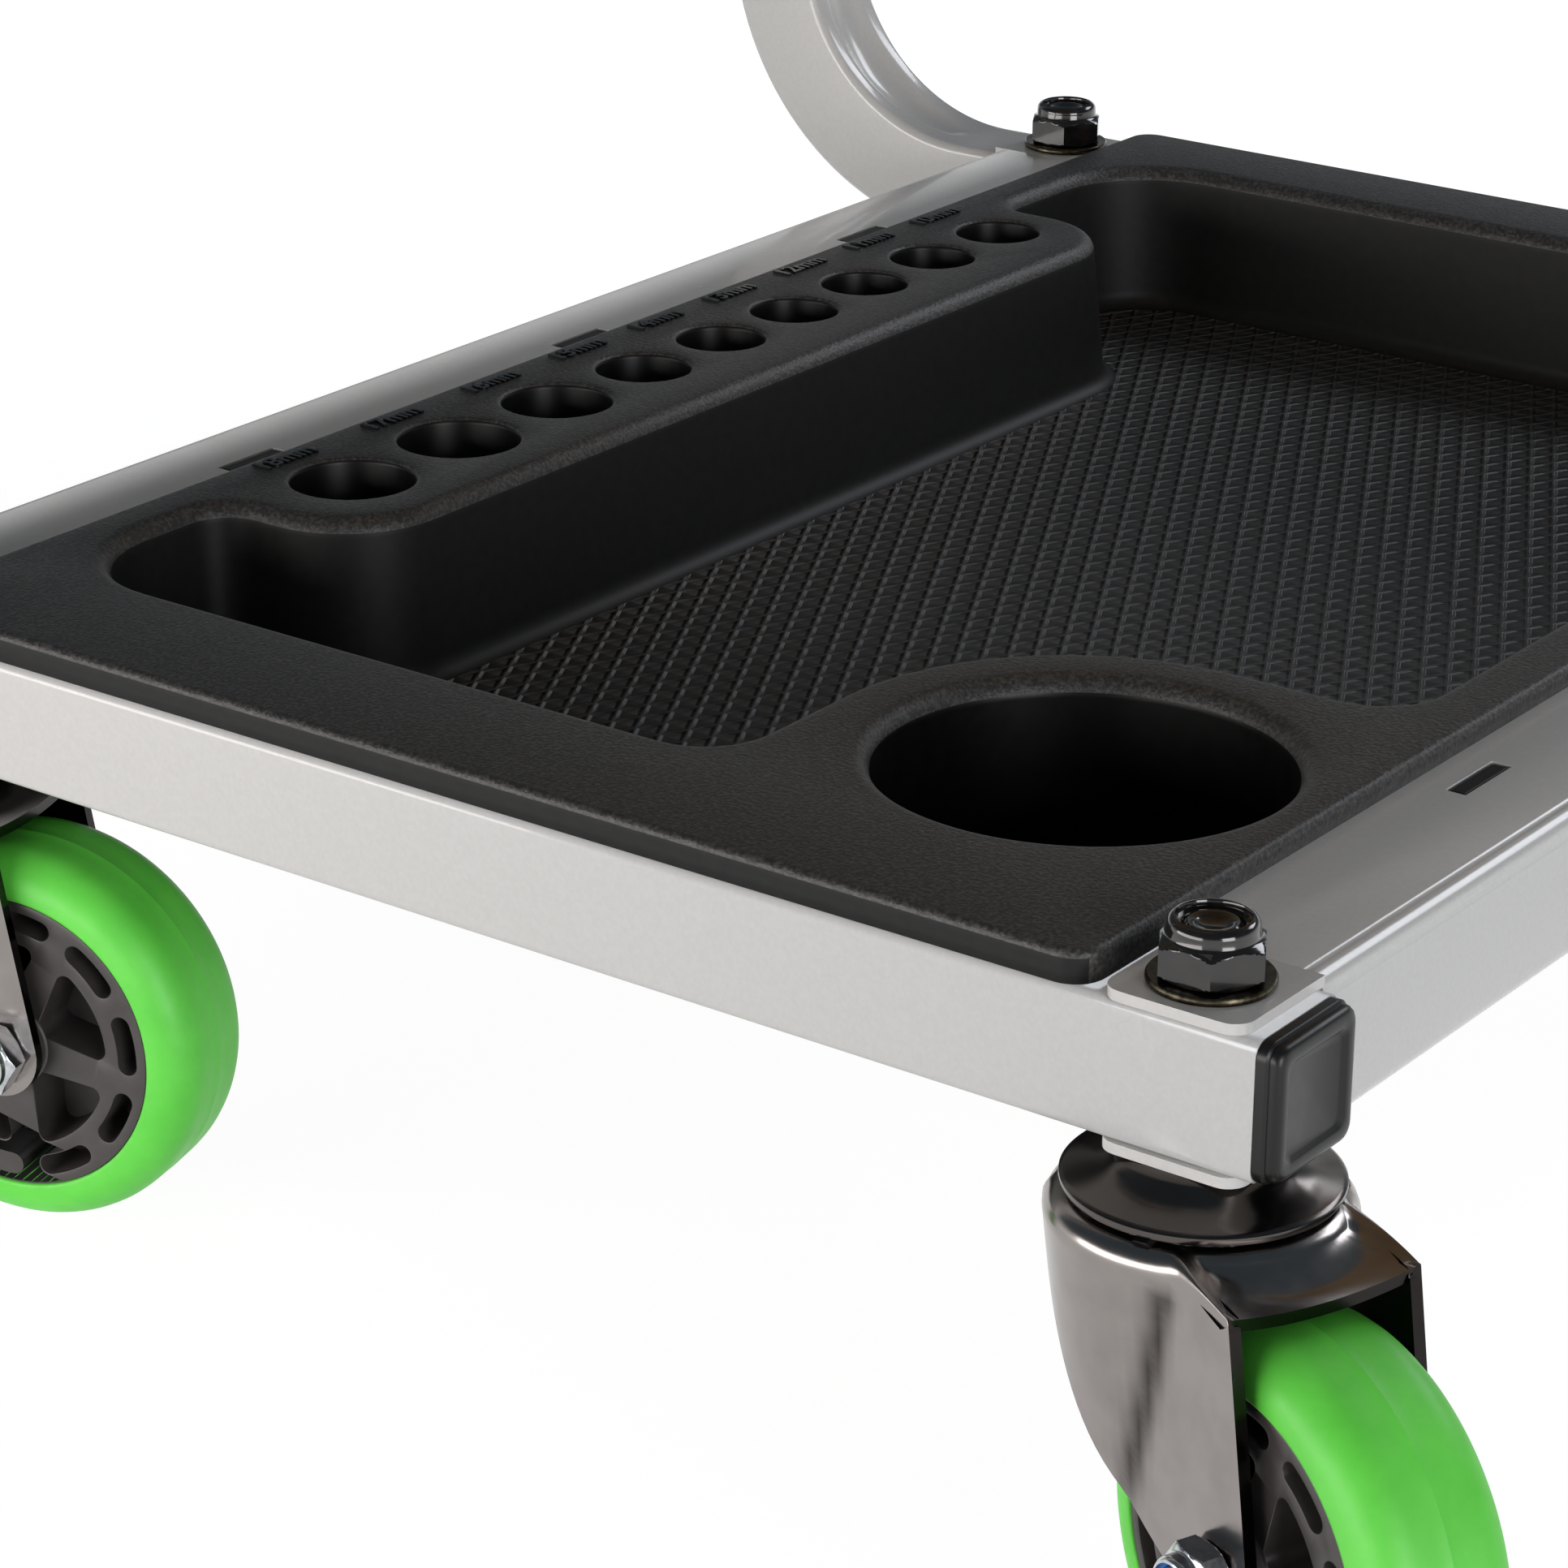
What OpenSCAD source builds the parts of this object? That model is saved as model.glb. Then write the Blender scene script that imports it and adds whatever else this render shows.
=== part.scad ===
// Rolling stool: two bent square tubes carry a seat over a moulded parts tray on four swivel casters.
// The near right caster stem is the construction point. X runs right, Y runs back and Z up from the floor.

/* [Frame] */
// Outer width of the square frame tube
tube_size = 25; // [22:0.5:28]
// Wall of the frame tube
tube_wall = 1.5; // [1:0.1:2]
// Outer corner radius of the frame tube
tube_round = 2; // [1.6:0.1:3]
// Spacing of the caster stems along a tube
stem_span_x = 308; // [300:1:330]
// Spacing of the two tubes, centre to centre
stem_span_y = 423; // [422:1:440]
// Distance from the right stem to the right end of its tube
stem_inset = 16; // [15:0.5:20]
// Straight tube past the left stem, before the bend
bend_lead = 26; // [20:1:40]
// Radius of the tube bends on the centreline
bend_radius = 62.5; // [55:0.5:75]
// Depth of the groove that bending presses into the inside of a bend
bend_groove = 3.5; // [2:0.25:4]
// Section radius of that groove
bend_groove_radius = 9; // [7:0.5:9]
// Straight length of the upper tubes past the bend
upper_run = 334; // [300:1:340]
// Free radius round each bolt in a drilled hole
bolt_gap = 0.25; // [0.15:0.05:0.5]

/* [Rails] */
// Thickness of the rail sheet
sheet = 2; // [1.5:0.1:2.5]
// Width of the upper rail flange, which carries the tray
rail_width = 33; // [30:0.5:34]
// Width of the lower rail flange
rail_lower_width = 28; // [20:0.5:30]
// Distance from the stem to the outer face of the rail web
rail_offset = 13.7; // [13.5:0.1:15]
// Outside radius of the rail folds
rail_fold = 3.5; // [2.6:0.1:5]
// Width of the tab that laps over the tube
tab_width = 27; // [24:0.5:27]
// Corner radius of the tab
tab_round = 4; // [2:0.5:6]
// Length of a slot in the rail
slot_length = 17; // [10:0.5:20]
// Width of a slot in the rail
slot_width = 4; // [3.6:0.1:4.5]
// Distance from the rail web to the slot centre
slot_offset = 21.3; // [20:0.1:23]
// Spacing of the slots along the rail
slot_pitch = 110; // [90:1:120]

/* [End caps] */
// Thickness of the cap flange
cap_flange = 4.5; // [3:0.25:6]
// Corner radius of the cap flange
cap_round = 3; // [2:0.25:4]
// Width of the recessed panel in the cap
cap_panel = 17; // [12:0.5:19]
// Depth of that panel
cap_panel_depth = 0.8; // [0.4:0.1:1.5]
// Corner radius of that panel
cap_panel_round = 2; // [1:0.5:3]
// Length of the plug inside the tube
cap_plug = 7; // [5:0.5:9]
// Gap between the plug and the tube
cap_gap = 0.2; // [0.1:0.05:0.3]

/* [Tray] */
// How far each side of the tray lies over its rail
tray_lap = 3.05; // [2.6:0.05:3.3]
// How far each end of the tray lies over its tube, past the middle of the tube
tray_end_lap = 12; // [8.5:0.5:12]
// Height of the tray rim over the tubes
tray_rise = 6; // [5:0.25:8]
// Thickness of the tray top
tray_plate = 3; // [2.5:0.1:3.4]
// Thickness of the tray walls and floors
tray_wall = 2.5; // [2:0.1:2.6]
// Corner radius of the tray
tray_round = 6; // [4:0.5:10]
// Depth of the bin below the rim
bin_depth = 35.5; // [28:0.5:38]
// Width of the tray land on the right of the bin
land_right = 14; // [12:0.25:18]
// Width of the tray land on the left of the bin, in front of the socket block
land_left = 11.75; // [9:0.25:11.75]
// Width of the tray land on the left of the bin, behind the socket block
land_left_far = 11; // [9:0.25:11.5]
// Width of the tray land in front of the bin
land_near = 34.7; // [34:0.1:40]
// Width of the tray land behind the bin
land_far = 27.2; // [27.1:0.1:36]
// Slope of the bin walls, in degrees
draft = 6; // [2:0.5:7]
// Radius of the bin rim
rim_round = 4; // [3:0.25:4.5]
// Radius between the bin walls and the floor
floor_round = 4.5; // [3:0.25:5]
// Radius of the left corners of the bin
bin_corner = 26; // [20:1:30]
// Radius of the far right corner of the bin
bin_far_corner = 18; // [12:1:30]
// Radius where the cup land meets the near and right edges of the bin
land_corner = 12; // [9:0.5:13]

/* [Cup well] */
// Diameter of the cup well
cup_d = 76; // [70:0.5:78]
// Depth of the cup well below the rim
cup_depth = 45; // [38:0.5:45]
// Centre of the cup well from the right edge of the tray
cup_in_x = 47.4; // [46:0.1:52]
// Centre of the cup well from the near edge of the tray
cup_in_y = 72; // [71:0.1:85]
// Width of the land round the cup well
cup_land = 15; // [12:0.25:16]
// Radius of the cup rim
cup_rim = 4; // [2:0.25:5]

/* [Socket wells] */
// Diameters of the socket wells, from near to far
socket_d = [26, 26, 24, 21, 20, 20, 20, 20, 20];
// Centre of the first socket well from the near end of the socket block
socket_start = 25.9; // [24:0.1:28]
// Depth of the socket wells
socket_depth = 30; // [20:0.5:32]
// Spare width between two wells, on top of their mean diameter
socket_space = 7.7; // [7:0.1:8]
// Centre line of the wells from the left edge of the tray
socket_in = 24.2; // [24:0.1:26]
// Wall of a socket well
socket_wall = 2.5; // [2:0.1:2.8]
// Chamfer of a socket well
socket_chamfer = 1.2; // [0.5:0.1:1.5]
// Width of the socket block from the left edge of the tray
block_width = 49; // [47:0.5:60]
// Distance from each end of the tray to the socket block
block_end = 82.5; // [81.5:0.5:85.5]
// Corner radius of the socket block
block_corner = 22; // [14:0.5:24]
// Radius between the socket block and the left land
block_fillet = 9; // [8.5:0.5:12]

/* [Casters] */
// Height of a caster below the tube
caster_height = 100.5; // [98:0.5:108]
// Distance from the stem axis back to the wheel axis
trail = 33; // [30:0.5:35]
// Way the near left caster points, in degrees from +X
near_left_turn = 14.9; // [-180:0.1:180]
// Way the near right caster points
near_right_turn = -23.1; // [-180:0.1:180]
// Way the far left caster points
far_left_turn = -35; // [-180:0.1:180]
// Way the far right caster points
far_right_turn = 23.1; // [-180:0.1:180]
// Diameter of the threaded stem and the kingpin
stem_d = 10; // [8:0.5:11]
// Diameter of the upper race
race_d = 51; // [49:0.5:52]
// Diameter of the fork crown
crown_d = 53; // [52:0.5:56]
// Thickness of the fork sheet
fork_sheet = 2.3; // [2:0.1:2.6]
// Outside width of the fork
fork_width = 38; // [37:0.5:40]
// Lean of the front edge of the fork, in degrees
fork_lean = 10; // [6:0.5:12]
// End radius of a fork leg
leg_end = 9.4; // [8.5:0.1:10.5]
// Radius of the balls in the upper race
ball_r = 2.5; // [2.3:0.05:2.6]
// Count of the balls in the upper race
ball_count = 16; // [10:1:20]
// Radius of the balls under the crown
lower_ball_r = 1.5; // [1.3:0.05:1.6]
// Count of the balls under the crown
lower_ball_count = 12; // [8:1:14]
// Radial gap of each running fit
run_gap = 0.08; // [0.05:0.01:0.1]

/* [Wheels] */
// Diameter of a wheel
wheel_d = 80; // [76:0.5:82]
// Width of the tyre
tyre_width = 28; // [26:0.5:29]
// Depth of the tyre
tyre_depth = 9; // [7:0.25:9.5]
// Shoulder radius of the tyre
tyre_shoulder = 8; // [5:0.5:8]
// Turn of the near left wheel on its axle, in degrees
near_left_roll = -10; // [-36:1:36]
// Depth of the hub pockets
pocket_depth = 11; // [6:0.5:11.5]
// Count of the spokes
spokes = 5; // [4:1:6]
// Count of the slots round the rim of the hub
rim_slots = 10; // [8:1:11]
// Diameter of the axle bolt
axle_d = 8; // [6:0.5:8]
// Wall of the axle sleeve
sleeve_wall = 1.9; // [1.5:0.1:2]

/* [Fasteners] */
// Width across the flats of the stem nuts
stem_nut_flats = 17; // [16:0.5:19]
// Height of the stem nuts
stem_nut_height = 10; // [8:0.5:12]
// Diameter of the stem washers
stem_washer_d = 21.5; // [20:0.5:24]
// Thickness of the stem washers
stem_washer = 1.5; // [1:0.1:2]
// Width across the flats of the axle and seat bolts
bolt_flats = 13; // [12:0.5:14]
// Height of the bolt heads
bolt_head = 5.3; // [4:0.1:6]
// Height of the axle nuts
axle_nut_height = 8; // [7:0.25:9]

/* [Seat] */
// Height of the top of the seat over the floor
seat_height = 420; // [400:1:450]
// Depth of the seat, along X
seat_width = 350; // [340:1:370]
// Distance that the seat reaches past the middle of each tube, along Y
seat_overhang = 23.5; // [21:0.5:38]
// Corner radius of the seat
seat_corner = 60; // [50:1:80]
// Height of the cushion in the middle
cushion_height = 52; // [40:1:70]
// Rise of the crown from the upper edge to the middle
cushion_crown = 8; // [4:0.5:12]
// Distance that the cushion draws in at the board
cushion_tuck = 5; // [2:0.5:8]
// Thickness of the seat board
board = 12; // [12:0.5:18]
// Distance from the edge of the cushion to the edge of the board
board_inset = 10; // [6:0.5:10]
// Diameter of the seat bolts
seat_bolt_d = 8; // [6:0.5:8]
// Spacing of the seat bolts along a tube
seat_bolt_pitch = 200; // [160:1:240]
// Thickness of the seat washers and of the tee nut flanges
seat_washer = 1.6; // [1.2:0.1:2]
// Diameter of the seat washers and of the tee nut flanges
seat_washer_d = 20; // [18:0.5:22]

/* [Hidden] */
$fn = 64;
eps = 0.01;
cut = 1;
steel = "#b9bcbf";

tube_top = caster_height + tube_size;
tube_mid = caster_height + tube_size / 2;
mid_x = -stem_span_x / 2;
mid_y = stem_span_y / 2;
bend_x = -stem_span_x - bend_lead;
upper_top = seat_height - cushion_height - board;
upper_mid = upper_top - tube_size / 2;
upper_end = bend_x + upper_run;
board_top = upper_top + board;
seat_length = stem_span_y + 2 * seat_overhang;
bore_inside = tube_size - 2 * tube_wall;
groove_reach = bend_radius - tube_size / 2;
groove_shift = bend_groove / (1 - cos(45));

rim_z = tube_top + tray_rise;
bin_flange = rim_round + 2;
rail_inner = stem_span_x / 2 + rail_offset - rail_width;
half_w = rail_inner + tray_lap;
half_l = mid_y + tray_end_lap;
bin_left = -half_w + land_left;
bin_left_far = -half_w + land_left_far;
bin_right = half_w - land_right;
bin_near = -half_l + land_near;
bin_far = half_l - land_far;
block_half = half_l - block_end;
socket_first = socket_start - block_half;
block_edge = -half_w + block_width;
cup_x = half_w - cup_in_x;
cup_y = -half_l + cup_in_y;
cup_reach = cup_d / 2 + cup_land;
socket_x = -half_w + socket_in;
slot_x = stem_span_x / 2 + rail_offset - slot_offset;

stem_r = stem_d / 2;
wheel_r = wheel_d / 2;
axle_z = wheel_r - caster_height;
axle_r = axle_d / 2;
hub_r = wheel_r - tyre_depth;
leg_face = fork_width / 2;
leg_inner = leg_face - fork_sheet;
sleeve_r = axle_r + 0.1 + sleeve_wall;
race_top = -sheet;
race_rim = race_top - 8.5;
crown_top = race_rim - 1.9;
crown_under = crown_top - fork_sheet;
crown_r = crown_d / 2;
ball_ring = race_d / 2 - 7.5;
ball_sink = 0.5;
lower_ring = stem_r + lower_ball_r + 2.5;
king_head = crown_under - 2 * lower_ball_r - 0.2;
king_head_r = lower_ring + lower_ball_r + 2;
king_thick = 2.4;
web_side = crown_top - 2;
web_sag = 2;

// Each caster: its name, its stem in the plan, the way it points and the turn of its wheel.
CASTERS = [
    ["near_left", [-stem_span_x, 0], near_left_turn, near_left_roll],
    ["near_right", [0, 0], near_right_turn, 0],
    ["far_left", [-stem_span_x, stem_span_y], far_left_turn, 0],
    ["far_right", [0, stem_span_y], far_right_turn, 0]
];
TUBES = [["near", 0], ["far", stem_span_y]];

// Reach of a caster from its stem towards a direction: its tyre, its bolt end or its bolt head.
axle_reach = leg_face + axle_nut_height + 1;
head_reach = leg_face + bolt_head;
function disc_reach(turn, r, side) = r * abs(cos(turn)) + side * abs(sin(turn));
function reach(turn) = trail * cos(turn) + max(
    disc_reach(turn, wheel_r - tyre_shoulder, tyre_width / 2 - tyre_shoulder) + tyre_shoulder,
    sin(turn) < 0 ? disc_reach(turn, axle_r, axle_reach)
        : disc_reach(turn, bolt_flats / sqrt(3), head_reach));
box_right = max([for (c = CASTERS) c[1][0] + reach(-c[2])]);
box_left = min(bend_x - bend_radius - tube_size / 2, min([for (c = CASTERS) c[1][0] - reach(180 - c[2])]));
box_near = min([for (c = CASTERS) c[1][1] - reach(-90 - c[2])]);
box_far = max([for (c = CASTERS) c[1][1] + reach(90 - c[2])]);

function on_circle(r, turn) = r * [cos(turn), sin(turn)];

// Points on an arc, from one angle to another.
function arc(centre, r, from, to, steps) =
    [for (i = [0:steps]) centre + on_circle(r, from + (to - from) * i / steps)];

// An outline is a list of corners: centre, radius, start angle, end angle, sense (1 turns left), steps.
// Drawn in by some distance, it keeps its centres and changes its radii.
function outline(corners, inset) =
    [for (c = corners) each arc(c[0], c[1] - c[4] * inset, c[2], c[3], c[5])];

function box_corners(half_x, half_y, r, steps) = [
    [[half_x - r, half_y - r], r, 0, 90, 1, steps],
    [[r - half_x, half_y - r], r, 90, 180, 1, steps],
    [[r - half_x, r - half_y], r, 180, 270, 1, steps],
    [[half_x - r, r - half_y], r, 270, 360, 1, steps]
];

function ring(points, z) = [for (p = points) [p[0], p[1], z]];

// A solid through rings of as many points each, from the top down.
module skin(rings) {
    n = len(rings[0]);
    last = (len(rings) - 1) * n;
    polyhedron(
        points = [for (ring = rings) each ring],
        faces = concat(
            [[for (i = [n - 1:-1:0]) i]],
            [[for (i = [0:n - 1]) last + i]],
            [for (k = [0:len(rings) - 2], i = [0:n - 1])
                [k * n + i, k * n + (i + 1) % n, (k + 1) * n + (i + 1) % n, (k + 1) * n + i]]));
}

// A solid through the same outline at several levels, each [height, inset].
module loft(corners, levels) skin([for (level = levels) ring(outline(corners, level[1]), level[0])]);

module at_origin() translate([-(box_left + box_right) / 2, -(box_near + box_far) / 2, 0]) children();

module rounded_rect(w, h, r) {
    square([w - 2 * r, h], center = true);
    square([w, h - 2 * r], center = true);
    for (x = [-1, 1], y = [-1, 1])
        translate([x * (w / 2 - r), y * (h / 2 - r)]) circle(r);
}

// Frame tubes

module tube_outline() rounded_rect(tube_size, tube_size, tube_round);

module tube_section() {
    difference() {
        tube_outline();
        square(bore_inside, center = true);
    }
}

module tube_bend(z, start) {
    translate([bend_x, 0, z]) rotate([90, 0, 0])
        rotate_extrude(angle = 90, start = start) translate([bend_radius, 0]) children();
}

// Ring that lies along the inside of a bend and sinks into it halfway round.
module groove_ring(z, side, section) {
    shift = groove_shift * cos(45);
    translate([bend_x - shift, 0, z + side * shift]) rotate([90, 0, 0]) rotate_extrude()
        translate([groove_reach + bend_groove - groove_shift - bend_groove_radius, 0]) circle(section);
}

module grooved_bend(z, start, side) {
    difference() {
        union() {
            tube_bend(z, start) tube_section();
            intersection() {
                tube_bend(z, start) tube_outline();
                groove_ring(z, side, bend_groove_radius + tube_wall);
            }
        }
        groove_ring(z, side, bend_groove_radius);
    }
}

module frame_tube() {
    low_centre = tube_mid + bend_radius;
    high_centre = upper_mid - bend_radius;
    color("#c9c8c6") difference() {
        union() {
            translate([bend_x, 0, tube_mid]) rotate([90, 0, 90])
                linear_extrude(stem_inset - bend_x) tube_section();
            grooved_bend(low_centre, 180, -1);
            translate([bend_x - bend_radius, 0, low_centre])
                linear_extrude(high_centre - low_centre) tube_section();
            grooved_bend(high_centre, 90, 1);
            translate([bend_x, 0, upper_mid]) rotate([90, 0, 90]) linear_extrude(upper_run) tube_section();
        }
        for (x = [-stem_span_x, 0])
            translate([x, 0, caster_height - cut]) cylinder(r = stem_r + bolt_gap, h = tube_size + 2 * cut);
        for (x = [-1, 1])
            translate([mid_x + x * seat_bolt_pitch / 2, 0, upper_top - tube_size - cut])
                cylinder(r = seat_bolt_d / 2 + bolt_gap, h = tube_size + 2 * cut);
    }
}

module end_cap() {
    plug = bore_inside - 2 * cap_gap;
    color("#1b1b1c") rotate([90, 0, 90]) difference() {
        union() {
            linear_extrude(cap_flange) rounded_rect(tube_size, tube_size, cap_round);
            translate([0, 0, -cap_plug]) linear_extrude(cap_plug + eps) square(plug, center = true);
        }
        translate([0, 0, cap_flange - cap_panel_depth])
            linear_extrude(cut) rounded_rect(cap_panel, cap_panel, cap_panel_round);
        translate([0, 0, -cap_plug - cut]) linear_extrude(cap_plug + cut) square(plug - 5, center = true);
    }
}

// Rails: a channel that opens towards the tray, with tabs over and under both tubes

module folded_rect(w, h, r) {
    translate([-w, 0]) square([w - r, h]);
    translate([-r - eps, r]) square([r + eps, h - 2 * r]);
    for (y = [r, h - r])
        translate([-r, y]) circle(r);
}

module rail_section() {
    difference() {
        folded_rect(rail_width, tube_size + 2 * sheet, rail_fold);
        translate([-sheet, sheet]) folded_rect(rail_width, tube_size, rail_fold - sheet);
        translate([-rail_width - cut, -cut]) square([rail_width + cut - rail_lower_width, sheet + 2 * cut]);
    }
}

module rail_tab(z) {
    reach = tube_size / 2 + tab_round;
    translate([0, 0, z]) linear_extrude(sheet) difference() {
        union() {
            translate([0, reach / 2 - tube_size / 4])
                rounded_rect(tab_width, tube_size / 2 + reach, tab_round);
            translate([-tab_width / 2, 0]) square([tab_width, reach]);
        }
        circle(stem_r + bolt_gap);
    }
}

module right_rail() {
    inner_face = tube_size / 2 + 0.3;
    color("#c4c6c7") difference() {
        union() {
            translate([rail_offset, stem_span_y - inner_face, caster_height - sheet]) rotate([90, 0, 0])
                linear_extrude(stem_span_y - 2 * inner_face) rail_section();
            for (z = [caster_height - sheet, tube_top]) {
                rail_tab(z);
                translate([0, stem_span_y, 0]) mirror([0, 1, 0]) rail_tab(z);
            }
        }
        for (i = [-1:1])
            translate([rail_offset - slot_offset, mid_y + i * slot_pitch, tube_top + sheet / 2])
                cube([slot_width, slot_length, sheet + cut], center = true);
    }
}

// Tray

BIN = [
    [[bin_left + bin_corner, bin_near + bin_corner], bin_corner, 180, 270, 1, 7],
    [[cup_x - cup_reach - land_corner, bin_near + land_corner], land_corner, 270, 360, 1, 5],
    [[cup_x, cup_y], cup_reach, 180, 90, -1, 10],
    [[bin_right - land_corner, cup_y + cup_reach + land_corner], land_corner, 270, 360, 1, 5],
    [[bin_right - bin_far_corner, bin_far - bin_far_corner], bin_far_corner, 0, 90, 1, 6],
    [[bin_left_far + bin_corner, bin_far - bin_corner], bin_corner, 90, 180, 1, 7],
    [[bin_left_far + block_fillet, block_half + block_fillet], block_fillet, 180, 270, 1, 4],
    [[block_edge - block_corner, block_half - block_corner], block_corner, 90, 0, -1, 5],
    [[block_edge - block_corner, block_corner - block_half], block_corner, 0, -90, -1, 5],
    [[bin_left + block_fillet, -block_half - block_fillet], block_fillet, 90, 180, 1, 4]
];

// Inset of the bin wall at a depth below the rim, between the rim round and the floor round.
function wall_inset(depth) = (depth - rim_round) * tan(draft);

// The hole in the tray top that the bin and its rim fill.
module bin_hole() loft(BIN, [[cut, 1 - bin_flange], [-tray_plate - cut, 1 - bin_flange]]);

// The bin in one skin: from its floor up the inside, over the rim, and down the outside.
module bin_shell() {
    foot = bin_depth - floor_round;
    round_out = floor_round + tray_wall;
    loft(BIN, concat(
        [for (a = [90, 60, 30, 0])
            [-foot - floor_round * sin(a), wall_inset(foot) + floor_round * (1 - cos(a))]],
        [for (a = [90, 40, 0]) [-rim_round * (1 - cos(a)), -rim_round * (1 - sin(a))]],
        [[0, -bin_flange], [-tray_plate, -bin_flange], [-tray_plate, -tray_wall]],
        [for (a = [0, 45, 90])
            [-foot - round_out * sin(a), wall_inset(foot) - tray_wall + round_out * (1 - cos(a))]]));
}

// Centre of a socket well: neighbours stand their mean diameter and the spare width apart.
function socket_y(i) = i == 0 ? socket_first
    : socket_y(i - 1) + (socket_d[i - 1] + socket_d[i]) / 2 + socket_space;

// The wells that fit in the socket block, with two walls beyond the last.
WELLS = [for (i = [0:len(socket_d) - 1])
    if (socket_y(i) + socket_d[i] / 2 + 2 * socket_wall <= block_half) [socket_d[i], socket_y(i)]];

module tray_top() {
    edge = 1.5;
    difference() {
        loft(box_corners(half_w, half_l, tray_round, 4), concat(
            [for (a = [0, 45, 90]) [-edge * (1 - cos(a)), edge * (1 - sin(a))]],
            [[-tray_rise, 0]]));
        translate([0, 0, -tray_rise - cut]) linear_extrude(tray_rise + cut - tray_plate)
            rounded_rect(2 * (half_w - tray_wall), 2 * (half_l - tray_wall), tray_round - tray_wall);
    }
}

// Tongue that passes the edge of the rail flange and stands in its slot.
module snap_tongue() {
    long = slot_length - 1;
    gap = 0.4;
    thick = 2.5;
    low = -tray_rise - gap - thick;
    leg_x = rail_inner - gap - thick;
    barb_x = slot_x + slot_width / 2 - gap;
    for (part = [
        [leg_x, barb_x, low, low + thick],
        [leg_x, rail_inner - gap, low, -tray_plate + eps],
        [slot_x - slot_width / 2 + gap, barb_x, low, sheet - tray_rise - gap]
    ])
        translate([part[0], -long / 2, part[2]]) cube([part[1] - part[0], long, part[3] - part[2]]);
}

module cup_rim_cut() {
    rotate_extrude() difference() {
        translate([cup_d / 2 - cut, -cup_rim]) square([cup_rim + cut, cup_rim + cut]);
        translate([cup_d / 2 + cup_rim, -cup_rim]) circle(cup_rim);
    }
}

module tray() {
    color("#2b2b2c") translate([mid_x, mid_y, rim_z]) difference() {
        union() {
            difference() {
                tray_top();
                bin_hole();
            }
            bin_shell();
            translate([cup_x, cup_y, -cup_depth - tray_wall])
                cylinder(r = cup_d / 2 + tray_wall, h = cup_depth + tray_wall - tray_plate / 2);
            for (well = WELLS) translate([socket_x, well[1], -socket_depth - tray_wall])
                cylinder(d = well[0] + 2 * socket_wall, h = socket_depth + tray_wall - tray_plate / 2);
            for (side = [0, 1], i = [-1:1])
                mirror([side, 0, 0]) translate([0, i * slot_pitch, 0]) snap_tongue();
        }
        translate([cup_x, cup_y, -cup_depth]) cylinder(r = cup_d / 2, h = cup_depth + cut);
        translate([cup_x, cup_y, 0]) cup_rim_cut();
        for (well = WELLS) translate([socket_x, well[1], 0]) {
            mouth = well[0] + 2 * (socket_chamfer + cut);
            translate([0, 0, -socket_depth]) cylinder(d = well[0], h = socket_depth + cut);
            translate([0, 0, -socket_chamfer]) cylinder(d1 = well[0], d2 = mouth, h = socket_chamfer + cut);
        }
        // The side skirts rest on the rail flanges, which start behind the near tube.
        for (side = [0, 1])
            mirror([side, 0, 0]) translate([rail_inner, (tube_size - stem_span_y) / 2, -tray_rise - 0.2])
                cube([tray_wall + cut, stem_span_y - tube_size, sheet + 0.2]);
    }
}

// Fasteners

module hexagon(flats) circle(d = flats * 2 / sqrt(3), $fn = 6);

module hex_head(flats, height) {
    edge = flats / sqrt(3) - flats / 2;
    intersection() {
        linear_extrude(height) hexagon(flats);
        rotate_extrude() polygon([
            [0, 0], [flats / 2 + edge, 0], [flats / 2 + edge, height - edge * 0.6],
            [flats / 2 - 0.2, height], [0, height]]);
    }
}

// Self-locking nut: hexagon below, round collar above.
module lock_nut(flats, height, bore) {
    collar = height * 0.3;
    difference() {
        union() {
            hex_head(flats, height - collar);
            translate([0, 0, height - collar - eps]) rotate_extrude() difference() {
                square([flats * 0.45, collar + eps]);
                translate([flats * 0.45 - 1, collar + eps - 1]) difference() {
                    square(1 + cut);
                    circle(1);
                }
            }
        }
        translate([0, 0, -cut]) cylinder(r = bore, h = height + 2 * cut);
    }
}

module washer(d, thickness, bore) {
    difference() {
        cylinder(d = d, h = thickness);
        translate([0, 0, -cut]) cylinder(r = bore, h = thickness + 2 * cut);
    }
}

module at_stems(z) {
    for (c = CASTERS) translate([c[1][0], c[1][1], z]) children();
}

module stem_washers() {
    color("#8a7a55") at_stems(tube_top + sheet) washer(stem_washer_d, stem_washer, stem_r + bolt_gap);
}

module stem_nuts() {
    color("#151516") at_stems(tube_top + sheet + stem_washer)
        lock_nut(stem_nut_flats, stem_nut_height, stem_r + run_gap);
}

// Casters, each about its own stem, with the underside of the tube at zero and the trail along +X

module at_caster(c) translate([c[1][0], c[1][1], caster_height]) rotate([0, 0, c[2]]) children();

module at_axle() translate([trail, 0, axle_z]) rotate([90, 0, 0]) children();

module caster_stem() {
    top = tube_size + sheet + stem_washer + stem_nut_height - 1;
    color(steel) {
        translate([0, 0, king_head - eps]) cylinder(r = stem_r, h = top - king_head + eps);
        translate([0, 0, king_head - king_thick]) rotate_extrude() difference() {
            square([king_head_r, king_thick]);
            translate([king_head_r - 1, 0]) difference() {
                translate([0, -cut]) square([1 + cut, 1 + cut]);
                translate([0, 1]) circle(1);
            }
        }
    }
}

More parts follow.
